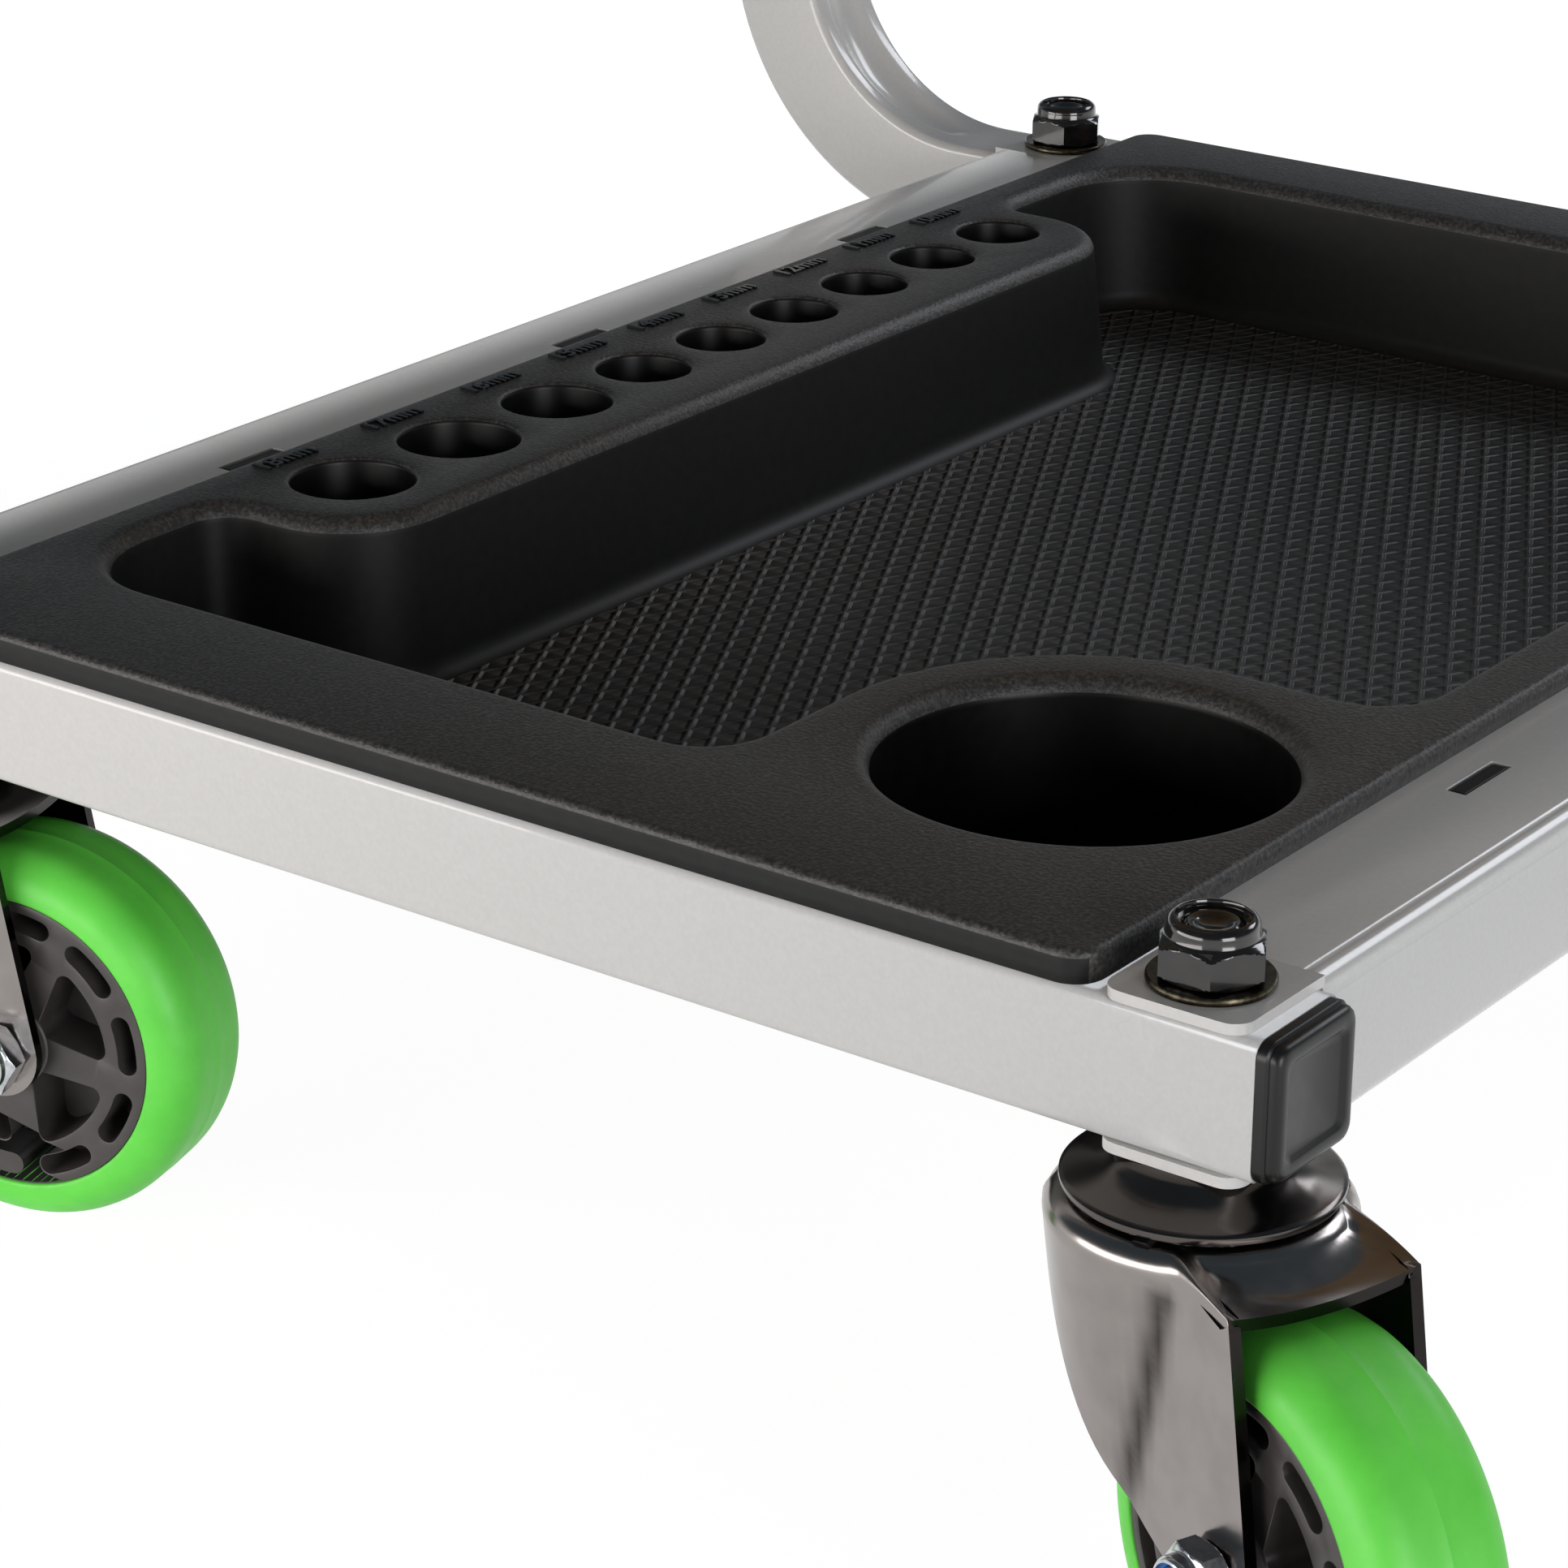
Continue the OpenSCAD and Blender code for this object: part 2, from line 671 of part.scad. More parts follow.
// Upper race: a pressed dish, flat under the tube, with a turned-down rim over the crown.
module caster_race() {
    rim = race_d / 2;
    flat = 11;
    bore = stem_r + 0.1;
    under = crown_top - ball_sink + 2 * ball_r + 0.1;
    color("#1a1a1b") rotate_extrude() polygon([
        [bore, race_top], [flat, race_top], [flat + 5, race_top - 1.4], [rim - 1.5, race_rim + 2.2],
        [rim, race_rim + 1], [rim, race_rim], [rim - 1.6, race_rim], [rim - 2.4, race_rim + 1.6],
        [ball_ring + ball_r, under], [ball_ring - ball_r, under], [flat + 1, race_top - fork_sheet],
        [bore, race_top - fork_sheet]
    ]);
}

module ball_circle(count, ring, r, z) {
    for (i = [1:count]) rotate([0, 0, i * 360 / count]) translate([ring, 0, z]) sphere(r);
}

module caster_balls() {
    color(steel) {
        ball_circle(ball_count, ball_ring, ball_r, crown_top - ball_sink + ball_r + 0.03);
        ball_circle(lower_ball_count, lower_ring, lower_ball_r, crown_under - lower_ball_r - 0.1);
    }
}

// Side view of the fork, with the trail to the right. The rear edge is a curve pulled towards a third point.
rear_top = [-17.3, axle_z + 46.5];
rear_pull = [-15.7, axle_z + 12];
rear_foot_angle = -145;
rear_foot = [trail, axle_z] + leg_end * [cos(rear_foot_angle), sin(rear_foot_angle)];
function rear_edge(t) = (1 - t) * (1 - t) * rear_top + 2 * t * (1 - t) * rear_pull + t * t * rear_foot;

module fork_side() {
    rise = crown_top - axle_z + cut;
    front = [trail + leg_end * cos(fork_lean) - tan(fork_lean) * rise, crown_top + cut];
    polygon(concat(
        [front],
        arc([trail, axle_z], leg_end, fork_lean, rear_foot_angle + 20, 12),
        [for (i = [1:9]) rear_edge(1 - i / 9)],
        [[-crown_r - cut, rear_top[1]], [-crown_r - cut, crown_top + cut]]));
}

// End view of the straight part of the fork: two legs under a sagging web.
module fork_end() {
    sag_r = (leg_face * leg_face + web_sag * web_sag) / (2 * web_sag);
    centre = web_side - web_sag + sag_r;
    intersection() {
        difference() {
            translate([0, centre]) circle(sag_r + fork_sheet, $fn = 96);
            translate([0, centre]) circle(sag_r, $fn = 96);
        }
        translate([-leg_face, axle_z]) square([fork_width, web_side - axle_z]);
    }
    for (side = [-1, 1])
        translate([side * (leg_face - fork_sheet / 2) - fork_sheet / 2, axle_z - 2 * leg_end])
            square([fork_sheet, web_side - axle_z + 2 * leg_end]);
}

module caster_fork() {
    deep = crown_top - axle_z + 2 * leg_end;
    shoulder = 3;
    color("#1d1c1c") difference() {
        union() {
            intersection() {
                union() {
                    rotate([90, 0, 90]) linear_extrude(trail + 2 * leg_end) fork_end();
                    translate([0, 0, crown_top - deep]) difference() {
                        cylinder(r = crown_r, h = deep - shoulder);
                        translate([0, 0, -cut]) cylinder(r = crown_r - fork_sheet, h = deep + 2 * cut);
                        translate([0, -leg_inner, -cut]) cube([crown_d, 2 * leg_inner, deep + 2 * cut]);
                    }
                }
                translate([0, crown_d, 0]) rotate([90, 0, 0]) linear_extrude(2 * crown_d) fork_side();
            }
            // The crown: a flat top with a round shoulder.
            rotate_extrude() difference() {
                union() {
                    translate([0, crown_under]) square([crown_r - shoulder, fork_sheet]);
                    translate([crown_r - shoulder, crown_top - shoulder]) circle(shoulder);
                }
                translate([0, crown_under - 2 * shoulder]) square([crown_r - fork_sheet, 2 * shoulder]);
                translate([0, crown_top - 3 * shoulder]) square([crown_r + cut, 2 * shoulder]);
            }
        }
        translate([0, 0, crown_under - cut]) cylinder(r = stem_r + run_gap, h = fork_sheet + 2 * cut);
        translate([0, 0, crown_under - 3 * king_thick]) cylinder(r = king_head_r + 0.8, h = 3 * king_thick);
        translate([0, 0, crown_top + ball_r - ball_sink])
            rotate_extrude() translate([ball_ring, 0]) circle(ball_r);
        // The round shell keeps clear of the slot between the legs, where the wheel runs.
        at_axle() cylinder(r = wheel_r + 1.2, h = 2 * leg_inner, center = true);
        at_axle() translate([0, 0, -fork_width]) cylinder(r = axle_r + 0.2, h = 2 * fork_width);
    }
}

module caster_axle() {
    color(steel) at_axle() {
        translate([0, 0, -leg_face]) cylinder(r = axle_r, h = leg_face + axle_reach);
        translate([0, 0, eps - leg_face]) rotate([180, 0, 0]) hex_head(bolt_flats, bolt_head + eps);
    }
}

module caster_axle_nut() {
    color(steel) at_axle() translate([0, 0, leg_face])
        lock_nut(bolt_flats, axle_nut_height, axle_r + run_gap);
}

module caster_sleeve() {
    color(steel) at_axle() difference() {
        cylinder(r = sleeve_r, h = 2 * leg_inner - 0.1, center = true);
        cylinder(r = axle_r + 0.1, h = 2 * leg_inner + cut, center = true);
    }
}

// Window between two spokes: two straight edges and an arc, with rounded corners.
module hub_window() {
    outer = hub_r * 0.71;
    round = 2;
    half_angle = 360 / spokes * 0.39;
    apex = [7, 0];
    slope = atan2(outer * sin(half_angle), outer * cos(half_angle) - apex[0]);
    near = apex[0] + round / sin(slope);
    ring = outer - round;
    along = -near * cos(slope) + sqrt(ring * ring - pow(near * sin(slope), 2));
    far = [near + along * cos(slope), along * sin(slope)];
    turn = atan2(far[1], far[0]);
    polygon(concat(
        arc([0, 0], outer, -turn, turn, 6),
        arc(far, round, turn, slope + 90, 4),
        arc([near, 0], round, slope + 90, 270 - slope, 4),
        arc([far[0], -far[1]], round, 270 - slope, 360 - turn, 4)));
}

module hub_slot() {
    ring = hub_r * 0.865;
    half = 2;
    turn = 9;
    polygon(concat(
        arc([0, 0], ring + half, -turn, turn, 3),
        arc(ring * [cos(turn), sin(turn)], half, turn, turn + 180, 6),
        arc([0, 0], ring - half, turn, -turn, 3),
        arc(ring * [cos(turn), -sin(turn)], half, 180 - turn, 360 - turn, 6)));
}

module hub_pockets() {
    for (i = [1:spokes]) rotate([0, 0, (i + 0.5) * 360 / spokes]) hub_window();
    for (i = [1:rim_slots]) rotate([0, 0, (i + 0.5) * 360 / rim_slots]) hub_slot();
}

module caster_hub(roll) {
    half = tyre_width / 2 - 0.25;
    boss = leg_inner - 0.5;
    color("#3a3638") at_axle() rotate([0, 0, roll]) difference() {
        union() {
            cylinder(r = hub_r, h = 2 * half, center = true);
            cylinder(r = sleeve_r + 2.6, h = 2 * boss, center = true);
        }
        for (side = [0, 1])
            mirror([0, 0, side]) translate([0, 0, half - pocket_depth])
                linear_extrude(pocket_depth + cut) hub_pockets();
        cylinder(r = sleeve_r + run_gap, h = fork_width, center = true);
    }
}

module caster_tyre() {
    color("#55c845") at_axle() rotate_extrude($fn = 96) difference() {
        union() {
            translate([0, -tyre_width / 2]) square([wheel_r - tyre_shoulder, tyre_width]);
            translate([0, tyre_shoulder - tyre_width / 2]) square([wheel_r, tyre_width - 2 * tyre_shoulder]);
            for (side = [-1, 1])
                translate([wheel_r - tyre_shoulder, side * (tyre_width / 2 - tyre_shoulder)])
                    circle(tyre_shoulder);
        }
        translate([0, -tyre_width]) square([hub_r, 2 * tyre_width]);
    }
}

// Seat

module at_seat_bolts(z) {
    for (x = [-1, 1], y = [0, stem_span_y]) translate([mid_x + x * seat_bolt_pitch / 2, y, z]) children();
}

module seat_board() {
    color("#b08a5a") difference() {
        translate([mid_x, mid_y, upper_top]) linear_extrude(board) rounded_rect(
            seat_width - 2 * board_inset, seat_length - 2 * board_inset, seat_corner - board_inset);
        at_seat_bolts(upper_top - cut) cylinder(r = seat_bolt_d / 2 + 1.4, h = board + 2 * cut);
        at_seat_bolts(board_top - seat_washer) cylinder(d = seat_washer_d + 0.4, h = seat_washer + cut);
    }
}

module seat_bolts() {
    color(steel) at_seat_bolts(upper_top - tube_size - seat_washer) {
        cylinder(d = seat_bolt_d, h = seat_washer + tube_size + board - 0.5);
        rotate([180, 0, 0]) hex_head(bolt_flats, bolt_head);
    }
}

module seat_washers() {
    color(steel) at_seat_bolts(upper_top - tube_size - seat_washer)
        washer(seat_washer_d, seat_washer, seat_bolt_d / 2 + bolt_gap);
}

module seat_tee_nuts() {
    color(steel) at_seat_bolts(board_top) difference() {
        union() {
            translate([0, 0, -board + 3]) cylinder(r = seat_bolt_d / 2 + 1.2, h = board - 3);
            translate([0, 0, -seat_washer]) cylinder(d = seat_washer_d, h = seat_washer);
        }
        translate([0, 0, -board]) cylinder(r = seat_bolt_d / 2 + run_gap, h = board + cut);
    }
}

// The cushion: flat below, drawn in at the board, fullest at a third of its height, domed above.
module seat_cushion() {
    edge = cushion_height - cushion_crown;
    full = edge * 0.35;
    roll = edge - full;
    corners = box_corners(seat_width / 2, seat_length / 2, seat_corner, 8);
    color("#232324") translate([mid_x, mid_y, board_top]) skin(concat(
        [for (s = [0.1, 0.25, 0.4, 0.55, 0.7, 0.85])
            ring(outline(corners, roll) * s, cushion_height - cushion_crown * s * s)],
        [for (a = [0:15:90]) ring(outline(corners, roll * (1 - sin(a))), full + roll * cos(a))],
        [for (a = [30:30:90]) ring(outline(corners, cushion_tuck * (1 - cos(a))), full * (1 - sin(a)))]));
}

at_origin() frame_tube();  // near_tube
at_origin() translate([0, stem_span_y, 0]) frame_tube();  // far_tube
at_origin() right_rail();
at_origin() translate([-stem_span_x, 0, 0]) mirror([1, 0, 0]) right_rail();  // left_rail
for (t = TUBES) {
    at_origin() translate([stem_inset, t[1], tube_mid]) end_cap();
    at_origin() translate([upper_end, t[1], upper_mid]) end_cap();
}
at_origin() tray();
at_origin() stem_nuts();
at_origin() stem_washers();
for (c = CASTERS) {
    at_origin() at_caster(c) caster_stem();
    at_origin() at_caster(c) caster_race();
    at_origin() at_caster(c) caster_balls();
    at_origin() at_caster(c) caster_fork();
    at_origin() at_caster(c) caster_axle();
    at_origin() at_caster(c) caster_axle_nut();
    at_origin() at_caster(c) caster_sleeve();
    at_origin() at_caster(c) caster_hub(c[3]);
    at_origin() at_caster(c) caster_tyre();
}
at_origin() seat_board();
at_origin() seat_bolts();
at_origin() seat_washers();
at_origin() seat_tee_nuts();
at_origin() seat_cushion();
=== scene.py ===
"""Looks of the rolling stool: its pieces and finishes, on the frame of the construction."""
from math import acos, cos, pi, radians, sin, sqrt, tan

import bmesh
import bpy
from mathutils import Matrix, Vector
from mathutils.bvhtree import BVHTree


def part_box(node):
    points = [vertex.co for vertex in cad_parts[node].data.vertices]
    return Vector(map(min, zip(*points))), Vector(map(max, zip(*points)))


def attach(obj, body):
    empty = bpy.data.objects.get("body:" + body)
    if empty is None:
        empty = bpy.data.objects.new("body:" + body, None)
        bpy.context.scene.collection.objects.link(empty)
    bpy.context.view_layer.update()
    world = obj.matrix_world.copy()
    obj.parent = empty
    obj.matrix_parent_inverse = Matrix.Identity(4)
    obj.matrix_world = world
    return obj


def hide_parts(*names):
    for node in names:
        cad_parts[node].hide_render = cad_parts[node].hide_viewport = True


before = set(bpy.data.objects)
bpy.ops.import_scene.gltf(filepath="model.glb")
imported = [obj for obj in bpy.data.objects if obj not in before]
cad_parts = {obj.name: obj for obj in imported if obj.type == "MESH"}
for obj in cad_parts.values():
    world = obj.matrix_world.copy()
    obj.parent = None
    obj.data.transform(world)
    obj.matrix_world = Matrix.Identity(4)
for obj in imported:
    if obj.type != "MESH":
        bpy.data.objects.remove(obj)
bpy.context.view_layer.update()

# Sizes in millimetres, the same as in the construction. The near right caster stem is the
# origin of the plan, and the floor is at zero.
SPAN_X, SPAN_Y = 308.0, 423.0
TUBE, TUBE_WALL, TUBE_ROUND = 25.0, 1.5, 2.0
CASTER_HEIGHT = 100.5
TUBE_TOP = CASTER_HEIGHT + TUBE
RIM_Z = TUBE_TOP + 6.0
MID_X, MID_Y = -SPAN_X / 2, SPAN_Y / 2
SHEET = 2.0
BEND_X, BEND_R = -334.0, 62.5
UPPER_TOP = 356.0
BOARD_TOP = UPPER_TOP + 12.0
CUSHION_HALF = (175.0, 235.0)
SLOT_PITCH, SLOT_HALF = 110.0, 8.5
WASHER = 1.5

STEM_LOW, STEM_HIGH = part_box("near_right_stem")
ORIGIN = Vector(((STEM_LOW[0] + STEM_HIGH[0]) / 2, (STEM_LOW[1] + STEM_HIGH[1]) / 2, 0))
PLACE = Matrix.Translation(ORIGIN) @ Matrix.Scale(0.001, 4)

# Plan position of the stem, turn of the fork and roll of the wheel, in degrees.
CASTERS = {
    "near_left": ((-SPAN_X, 0), 14.9, -10),
    "near_right": ((0, 0), -23.1, 0),
    "far_left": ((-SPAN_X, SPAN_Y), -35, 0),
    "far_right": ((0, SPAN_Y), 23.1, 0),
}
TRAIL, AXLE_Z = 33.0, -60.5


def caster_place(name):
    (x, y), turn, _ = CASTERS[name]
    return PLACE @ Matrix.Translation((x, y, CASTER_HEIGHT)) @ Matrix.Rotation(radians(turn), 4, "Z")


def axle_place(name):
    return caster_place(name) @ Matrix.Translation((TRAIL, 0, AXLE_Z)) @ Matrix.Rotation(pi / 2, 4, "X")


# Materials


def colour(code):
    """A linear colour from an sRGB hex code."""
    parts = [int(code[i:i + 2], 16) / 255 for i in (1, 3, 5)]
    return (*[c / 12.92 if c <= 0.04045 else ((c + 0.055) / 1.055) ** 2.4 for c in parts], 1.0)


def add(tree, kind, inputs=None, **settings):
    """Adds a shader node with its settings, its input values and its links."""
    new = tree.nodes.new(kind)
    for key, value in settings.items():
        setattr(new, key, value)
    for socket, value in (inputs or {}).items():
        if isinstance(value, bpy.types.NodeSocket):
            tree.links.new(value, new.inputs[socket])
        else:
            new.inputs[socket].default_value = value
    return new


def reckon(tree, operation, a, b):
    """The result of a maths node on two numbers or sockets."""
    return add(tree, "ShaderNodeMath", {0: a, 1: b}, operation=operation).outputs[0]


def finish(name, base, **shader):
    """A material with its shader set, and the tree, shader and object coordinates to build on."""
    material = bpy.data.materials.new(name)
    material.use_nodes = True
    tree = material.node_tree
    skin = tree.nodes["Principled BSDF"]
    skin.inputs["Base Color"].default_value = colour(base)
    for socket, value in shader.items():
        skin.inputs[socket.replace("_", " ").title().replace("Ior", "IOR")].default_value = value
    return material, tree, skin, add(tree, "ShaderNodeTexCoord").outputs["Object"]


def grain(tree, place, size_mm, detail, rough=0.5):
    """A noise whose lumps are about the given size."""
    return add(tree, "ShaderNodeTexNoise", {
        "Vector": place, "Scale": 1000 / size_mm, "Detail": detail, "Roughness": rough}).outputs["Fac"]


def tint(tree, skin, factor, low, high, stops=(0.3, 0.7)):
    """Colours a surface between two tones by a pattern."""
    ramp = add(tree, "ShaderNodeValToRGB", {"Fac": factor})
    for element, stop, code in zip(ramp.color_ramp.elements, stops, (low, high)):
        element.position = stop
        element.color = colour(code)
    tree.links.new(ramp.outputs["Color"], skin.inputs["Base Color"])


def spread(tree, value, low, high, start=0.0, end=1.0, **settings):
    """The value between start and end, spread from low to high."""
    inputs = {"Value": value, "From Min": start, "From Max": end, "To Min": low, "To Max": high}
    return add(tree, "ShaderNodeMapRange", inputs, **settings).outputs["Result"]


def vary_roughness(tree, skin, factor, low, high):
    tree.links.new(spread(tree, factor, low, high), skin.inputs["Roughness"])


def emboss(tree, skin, height, depth_mm, strength, below=None):
    """Raises a surface by a pattern, up to a depth in millimetres, over the relief below it."""
    inputs = {"Height": height, "Distance": depth_mm * 0.001, "Strength": strength}
    if below:
        inputs["Normal"] = below
    bump = add(tree, "ShaderNodeBump", inputs)
    tree.links.new(bump.outputs["Normal"], skin.inputs["Normal"])
    return bump.outputs["Normal"]


def noisy(name, base, tones=None, gloss=None, relief=None, **shader):
    """A material of plain noises, each given with its grain (size in mm, detail and perhaps roughness).

    Tones go from a low to a high colour, gloss from a low to a high roughness, and relief has a depth in
    mm and a strength.
    """
    material, tree, skin, place = finish(name, base, **shader)
    for pattern, use in ((tones, tint), (gloss, vary_roughness), (relief, emboss)):
        if pattern:
            noise, first, second = pattern
            use(tree, skin, grain(tree, place, *noise), first, second)
    return material


def stippled_abs():
    # ABS moulded in a spark-eroded tool: matt dark charcoal with a fine even stipple.
    material, tree, skin, place = finish("stippled_abs", "#2a2928", roughness=0.46, ior=1.53)
    # The real grain is about 0.3 mm, drawn at 0.9 mm so that it shows.
    stipple_and_glint = grain(tree, place, 0.9, 2, 0.6)
    # The raised lumps of the stipple are painted paler than the ground between them: a painted glint on
    # each.
    tint(tree, skin, stipple_and_glint, "#201f1f", "#43413e", (0.42, 0.66))
    vary_roughness(tree, skin, grain(tree, place, 3, 3), 0.44, 0.56)
    emboss(tree, skin, stipple_and_glint, 0.22, 1.0)
    return material


def lozenge_abs():
    # The bin floor of the same moulding: raised lozenge ribs, at these pitches in metres.
    pitch_x, pitch_y = 0.006, 0.0113
    material, tree, skin, place = finish("lozenge_abs", "#232322", roughness=0.4, ior=1.53)
    split = add(tree, "ShaderNodeSeparateXYZ", {"Vector": place})
    across = reckon(tree, "MULTIPLY", split.outputs["X"], 1 / pitch_x)
    along = reckon(tree, "MULTIPLY", split.outputs["Y"], 1 / pitch_y)
    ribs = []
    for way in ("ADD", "SUBTRACT"):
        # Ping-pong runs 0 to 1 and back over two cells, so the distance to a line needs the nearer end.
        near = reckon(tree, "PINGPONG", reckon(tree, way, across, along), 1.0)
        ribs.append(reckon(tree, "MINIMUM", near, reckon(tree, "SUBTRACT", 1.0, near)))
    nearest = reckon(tree, "MINIMUM", *ribs)
    rib = spread(tree, nearest, 1.0, 0.0, 0.02, 0.2, interpolation_type="SMOOTHSTEP")
    # The ribs cross in rows half a lozenge apart, and stand higher there.
    row = reckon(tree, "PINGPONG", reckon(tree, "MULTIPLY", along, 2.0), 0.5)
    height = reckon(tree, "ADD", rib, reckon(tree, "MULTIPLY", nearest, 0.6))
    height = reckon(tree, "SUBTRACT", height, row)
    # The ribs and rows are painted paler than the valleys between them, as a painted highlight on the
    # raised parts.
    painted_rib_highlight = reckon(tree, "SUBTRACT", reckon(tree, "MULTIPLY", rib, 0.35), row)
    tint(tree, skin, reckon(tree, "ADD", painted_rib_highlight, 0.5), "#222221", "#474644", (0.0, 0.8))
    fine = emboss(tree, skin, grain(tree, place, 1.0, 2), 0.05, 0.5)
    emboss(tree, skin, height, 0.8, 1.0, fine)
    return material


def black_chrome(name, dark, light):
    # Pressed steel, black chromed: warm grey satin reflections that turn black where the sheet turns away.
    material, tree, skin, place = finish(name, light, metallic=1.0, roughness=0.2)
    # Shade is painted black along the inside curves, which the mesh marks.
    shade_in_crease = add(tree, "ShaderNodeAttribute", attribute_name="painted_crease_shade").outputs["Fac"]
    mottle = spread(tree, grain(tree, place, 9, 4), 0.7, 1.1)
    tint(tree, skin, reckon(tree, "SUBTRACT", mottle, shade_in_crease), dark, light, (0.05, 0.95))
    vary_roughness(tree, skin, grain(tree, place, 3, 4), 0.16, 0.25)
    # Drawing marks of the press, about 1 mm apart.
    emboss(tree, skin, grain(tree, place, 1.1, 3), 0.012, 0.4)
    return material


def birch_plywood():
    # Birch plywood, sawn and sanded: pale faces with a long grain, and dark and light plies at the edge.
    material, tree, skin, place = finish("birch_plywood", "#c9a678", roughness=0.55, ior=1.5)
    stretch = add(tree, "ShaderNodeMapping", {"Vector": place, "Scale": (1.0, 0.06, 1.0)})
    figure = grain(tree, stretch.outputs["Vector"], 1000 / 260, 5, 0.6)
    split = add(tree, "ShaderNodeSeparateXYZ", {"Vector": place})
    # Nine plies of 1.33 mm.
    ply = reckon(tree, "PINGPONG", split.outputs["Z"], 0.00133)
    layer = spread(tree, ply, 0.0, 0.5, 0.0005, 0.0008)
    tint(tree, skin, reckon(tree, "ADD", figure, layer), "#b48b5c", "#d6b88c")
    emboss(tree, skin, figure, 0.08, 0.5)
    return material


def black_vinyl():
    # PVC coated cloth with an embossed leather grain: black, a soft sheen on the lumps.
    material, tree, skin, place = finish("embossed_vinyl", "#1b1b1c", roughness=0.42, ior=1.53)
    # The lumps of the emboss are 1.2 mm, drawn at 2 mm so that they show.
    lumps = add(tree, "ShaderNodeTexVoronoi", {
        "Vector": place, "Scale": 1000 / 2.0}, feature="SMOOTH_F1").outputs["Distance"]
    vary_roughness(tree, skin, lumps, 0.34, 0.56)
    tint(tree, skin, grain(tree, place, 30, 3), "#191919", "#202021")
    folds = emboss(tree, skin, grain(tree, place, 45, 3), 0.6, 0.4)
    emboss(tree, skin, lumps, 0.16, 0.7, folds)
    return material


# Steel powder coated light grey and baked: a semi-gloss skin with an orange peel of 1 to 2 mm.
POWDER = noisy(
    "powder_coated_steel", "#c9c8c7", ((1.0, 3), "#c8c7c5", "#cdccca"), ((14, 2), 0.2, 0.3),
    ((1.6, 2), 0.012, 0.5), roughness=0.25, coat_weight=0.5, coat_roughness=0.08)
STIPPLE = stippled_abs()
# The walls of the same moulding, drawn from a smoother steel face: satin and nearly black.
SATIN = noisy(
    "satin_abs", "#191919", ((2.5, 3), "#161616", "#1c1c1b"), None, ((1.3, 2), 0.03, 0.5),
    roughness=0.5, ior=1.42, specular_ior_level=0.3)
LOZENGE = lozenge_abs()
# The wells of the same moulding, from polished core pins: smooth, and painted black as the shade deep in
# them.
WELL_PAINTED_SHADE = noisy(
    "abs_painted_shade_wells", "#0c0c0c", ((3, 3), "#090909", "#100f0f"), ((2, 3), 0.3, 0.42),
    roughness=0.34, ior=1.42, specular_ior_level=0.3)
# Polyethylene end caps: black, moulded, a slight sheen with flow marks.
CAP = noisy(
    "moulded_polyethylene", "#141414", None, ((6, 3), 0.26, 0.42), ((1.5, 3), 0.03, 0.5),
    roughness=0.3, ior=1.4)
# Zinc plated and black passivated: glossy, with a coppery play of colour in the reflections.
BLACK_ZINC = noisy(
    "black_passivated_zinc", "#111010", ((4, 2), "#0c0c0d", "#1f1a17"), ((2, 3), 0.08, 0.2),
    metallic=0.1, roughness=0.12, coat_weight=0.6, coat_roughness=0.05)
# Zinc plated and yellow passivated, dulled by the press: a dark brassy edge with fine pits.
YELLOW_ZINC = noisy(
    "yellow_passivated_zinc", "#3d392f", ((1.5, 4), "#2b2823", "#585140"), None,
    ((0.8, 3), 0.06, 0.6), metallic=1.0, roughness=0.3)
FORK = black_chrome("black_chromed_steel", "#1b1a1a", "#96908d")
RACE = black_chrome("black_chromed_dish", "#1b1a1a", "#5d5855")
# The inside faces and edges of the fork's sheet: the same black chrome painted darker, as painted shade.
SHADED_INSIDE_CHROME = black_chrome("black_chrome_painted_shade", "#111111", "#2e2b2a")
# Zinc plated and clear passivated: bright, bluish, slightly mottled.
ZINC = noisy(
    "clear_passivated_zinc", "#c3c6ca", ((2, 3), "#aeb2b8", "#d0d2d4"), ((1.2, 3), 0.12, 0.26),
    metallic=1.0, roughness=0.18)
# The nylon ring of a lock nut: moulded, dyed blue, slightly waxy.
NYLON = noisy("blue_nylon", "#2f6fc0", ((1.5, 2), "#2a66b4", "#3a7ccc"), roughness=0.4, ior=1.53)
# Glass-filled nylon, moulded: warm dark grey with a satin skin and faint flow marks.
HUB = noisy(
    "glass_filled_nylon", "#45403f", ((7, 4, 0.6), "#332f2e", "#403b3a"), ((4, 3), 0.36, 0.5),
    ((1.0, 3), 0.03, 0.5), roughness=0.42, ior=1.54)
# Thermoplastic rubber moulded on the hub: clear green, soft satin, with faint wear.
RUBBER = noisy(
    "green_thermoplastic_rubber", "#66dd4a", ((11, 4, 0.6), "#60d645", "#6ce250"), ((5, 4), 0.4, 0.55),
    ((1.4, 3), 0.02, 0.5), roughness=0.46, ior=1.52, subsurface_weight=0.05, subsurface_scale=0.002)
PLYWOOD = birch_plywood()
VINYL = black_vinyl()
# Hardened ball steel, ground and lapped: bright and even, with a trace of grease.
BALLS = noisy("lapped_steel", "#b9bbbd", None, ((2, 2), 0.08, 0.22), metallic=1.0, roughness=0.12)
# Raised letters of the tray moulding, polished in the tool: black and glossy.
LETTERS = noisy("polished_abs", "#141414", None, ((2, 2), 0.12, 0.22), roughness=0.16, ior=1.53)

# Mesh helpers


def show(name, data):
    """An object of the data, put into the scene."""
    thing = bpy.data.objects.new(name, data)
    bpy.context.scene.collection.objects.link(thing)
    return thing


def line(bm, points, closed=True):
    """Vertices on the points, joined in a line or a ring."""
    verts = [bm.verts.new(p) for p in points]
    for a, b in zip(verts, verts[1:] + (verts[:1] if closed else [])):
        bm.edges.new((a, b))
    return verts


def edges_of(bm, verts, closed=True):
    return [bm.edges.get(pair) for pair in zip(verts, verts[1:] + (verts[:1] if closed else []))]


